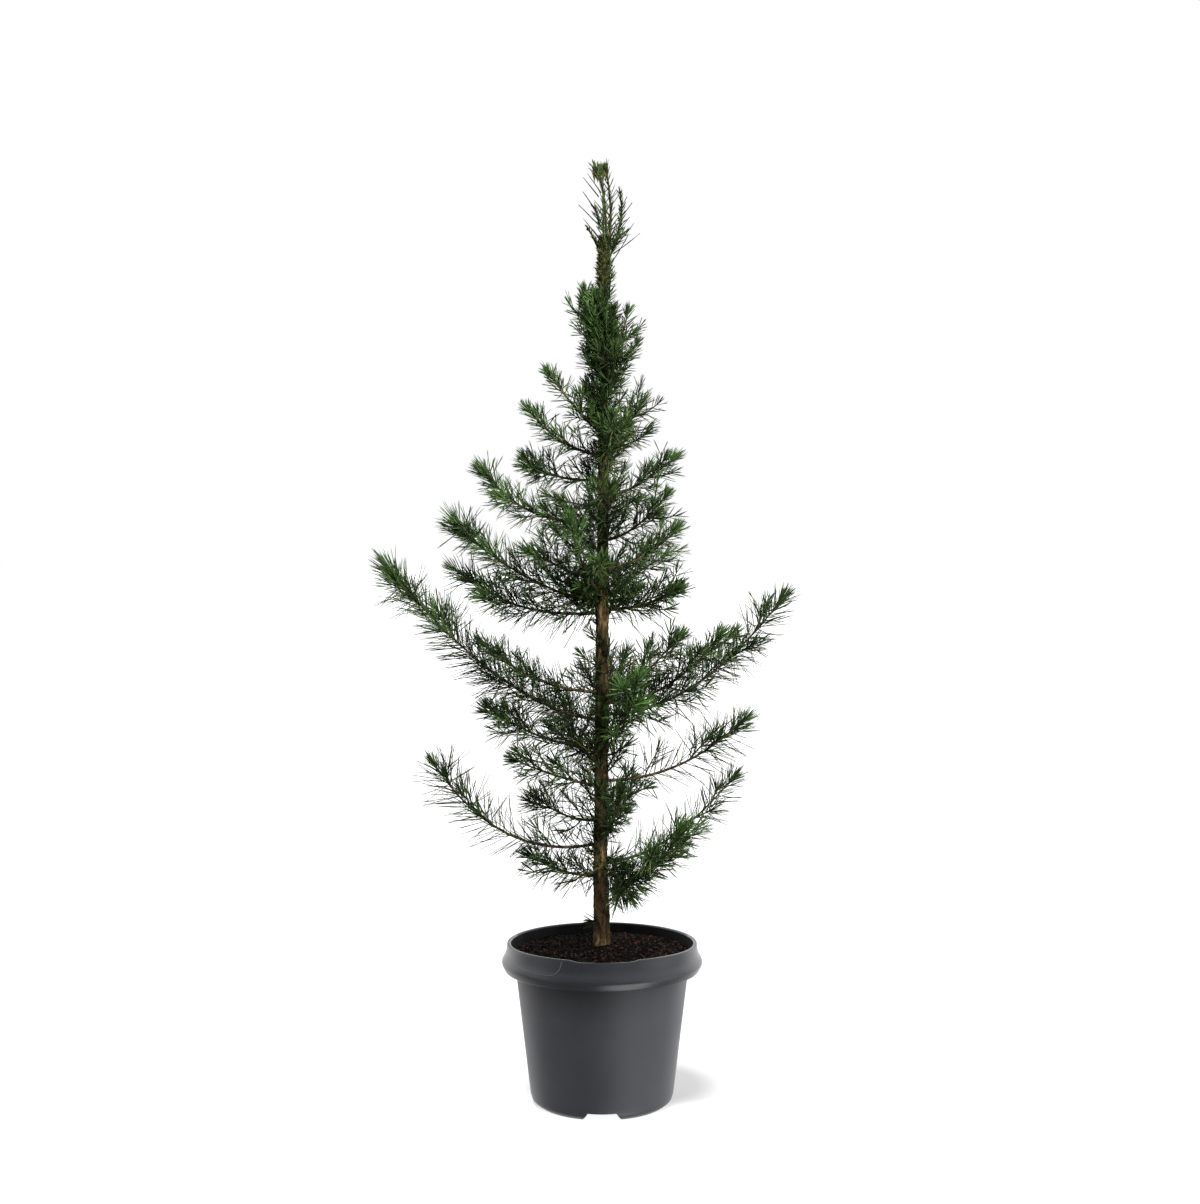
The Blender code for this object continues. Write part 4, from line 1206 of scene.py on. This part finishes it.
def needle_rows(curve, low, high, pairs, wide, close, long_low, long_high, rng):
    """Root, direction, bend and length of each needle on one stretch of a shoot.

    pairs is a number per metre, or a plain count when it is negative.
    """
    total = curve_places(curve, np.array([0.0, 1.0]))[2]
    count = -pairs if pairs < 0 else max(2, int(round(total * (high - low) * pairs * FULLER)))
    part = (np.arange(count) + rng.uniform(0, 1, count)) / count
    places, way, _ = curve_places(curve, low + (high - low) * part)
    first, second = square_to(way)
    turn = np.arange(count) * TURN + rng.uniform(0, 0.9, count)
    angle = np.radians(wide + (close - wide) * part + rng.normal(0, 8, count))
    long = (long_low + (long_high - long_low) * part) / 1000 * rng.uniform(0.75, 1.15, count)
    aside = second * np.cos(turn)[:, None] + first * np.sin(turn)[:, None]
    heading = way * np.cos(angle)[:, None] + aside * np.sin(angle)[:, None]
    rows = []
    for twin in (-1, 1):
        parting = rng.uniform(0.03, 0.11, count)[:, None] * twin
        across = unit(np.cross(heading, way) + rng.normal(0, 0.4, (count, 3)))
        bend = unit(way * 0.6 + rng.normal(0, 0.7, (count, 3)))
        twin_long = long * rng.uniform(0.92, 1.05, count)
        rows.append((places, unit(heading + across * parting), bend, twin_long))
    return [np.concatenate(column) for column in zip(*rows)]


SOIL_CLEAR = 0.162  # no needle reaches lower
STEM_SHOWS = ((0.185, 0.262, 3), (0.535, 0.622, 2))  # between two heights, one needle in how many
STEM_HALF = 0.0085
stem = [bark_at(height) for height in np.arange(0.155, TRUNK_TIP, 0.004)]
TRUNK_PLACES = np.array([centre[:] for centre, radius in stem])
TRUNK_SIZES = np.array([radius for centre, radius in stem])


def clear_needles(roots, heading, bend, length):
    """Drop the needles that would run into the trunk, the pot or the soil, and most of
    those in front of the trunk where it shows."""
    keep = np.ones(len(roots), bool)
    middle = roots + heading * (length * 0.6)[:, None]
    ahead = (np.abs(middle[:, 0] - 0.001) < STEM_HALF) & (middle[:, 1] < 0)
    for low, high, share in STEM_SHOWS:
        ahead_here = ahead & (middle[:, 2] > low) & (middle[:, 2] < high)
        keep &= ~ahead_here | (np.arange(len(roots)) % share == 0)
    for part in (0.6, 1.0):
        spots = roots + heading * (length * part)[:, None]
        apart = np.linalg.norm(spots[:, None] - TRUNK_PLACES[None], axis=2) - TRUNK_SIZES[None]
        keep &= (apart.min(axis=1) > 0.0005) & (spots[:, 2] > SOIL_CLEAR)
    return [column[keep] for column in (roots, heading, bend, length)]


SPRAY_SHADES = {  # how each kind of spray is coloured
    "dark": {"deep": 8, "mid": 1},
    "old": {"deep": 7, "mid": 2, "olive": 1},
    "body": {"deep": 5, "mid": 5},
    "tip": {"deep": 1, "mid": 5, "fresh": 2},
    "lush": {"mid": 4, "fresh": 5},
    "new": {"mid": 2, "fresh": 4, "bright": 4},
    "leader": {"deep": 3, "mid": 3, "olive": 2},
    "olive": {"olive": 3, "mid": 2, "deep": 1},
    "scale": {"olive": 1},
}
needle_sets = {"deep": [], "mid": [], "fresh": [], "bright": [], "olive": []}
for k, (curve, low, high, pairs, wide, close, long_low, long_high, shade) in enumerate(dressings):
    rng = np.random.default_rng(1000 + k)
    rows = needle_rows(curve, low, high, pairs, wide, close, long_low, long_high, rng)
    rows = clear_needles(*rows)
    names, weights = zip(*SPRAY_SHADES[shade].items())
    whole_spray = rng.choice(len(names), p=np.array(weights) / sum(weights))
    each = rng.choice(len(names), size=len(rows[0]), p=np.array(weights) / sum(weights))
    each = np.where(rng.uniform(0, 1, len(each)) < 0.6, whole_spray, each)
    for i, name in enumerate(names):
        needle_sets[name].append([column[each == i] for column in rows])

NEEDLE_COLOURS = {
    "deep": (0.016, 0.029, 0.009),
    "mid": (0.043, 0.078, 0.022),
    "fresh": (0.068, 0.130, 0.036),
    "bright": (0.090, 0.190, 0.048),
    "olive": (0.085, 0.088, 0.028),
}
MOST_NEEDLES = 12000  # in one piece


def needle_skin(name, colour):
    """A waxy green skin, a little uneven along the needle."""
    skin = new_material(f"needle_{name}", colour, 0.55, 0.14)
    cloud = noise(skin, object_place(skin), 160.0, 3.0)
    dark, pale = tuple(c * 0.65 for c in colour), tuple(c * 1.35 for c in colour)
    feed(skin, ramp(skin, cloud, (0.35, dark), (0.65, pale)), "Base Color")
    return skin


for name, sets in needle_sets.items():
    roots, heading, bend, length = [np.concatenate(column) for column in zip(*sets)]
    green = needle_skin(name, NEEDLE_COLOURS[name])
    rng = np.random.default_rng(77)
    for part in range(0, len(roots), MOST_NEEDLES):
        cut = slice(part, part + MOST_NEEDLES)
        z = heading[cut]
        x = unit(bend[cut] - z * (bend[cut] * z).sum(axis=1)[:, None])
        y = np.cross(z, x)
        size = length[cut][:, None, None]
        thick = NEEDLE_THICK * rng.uniform(0.85, 1.15, len(z))[:, None, None]
        shape = NEEDLE_VERTS[None]
        curl = 0.10 * rng.uniform(-0.3, 1.3, len(z))[:, None, None]
        verts = roots[cut][:, None] + z[:, None] * shape[..., 2:3] * size
        verts = verts + x[:, None] * (shape[..., 0:1] * thick + curl * size * shape[..., 2:3] ** 2)
        verts = verts + y[:, None] * shape[..., 1:2] * thick
        faces = NEEDLE_FACES[None] + (np.arange(len(z)) * len(NEEDLE_VERTS))[:, None, None]
        verts, faces = verts.reshape(-1, 3), faces.reshape(-1, 3)
        label = f"needles_{name}_{part // MOST_NEEDLES + 1}"
        finish_copies(label, verts, faces, green)
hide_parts(*[f"foliage_{limb.name}" for limb in limbs], "foliage_leader")

bpy.context.view_layer.update()
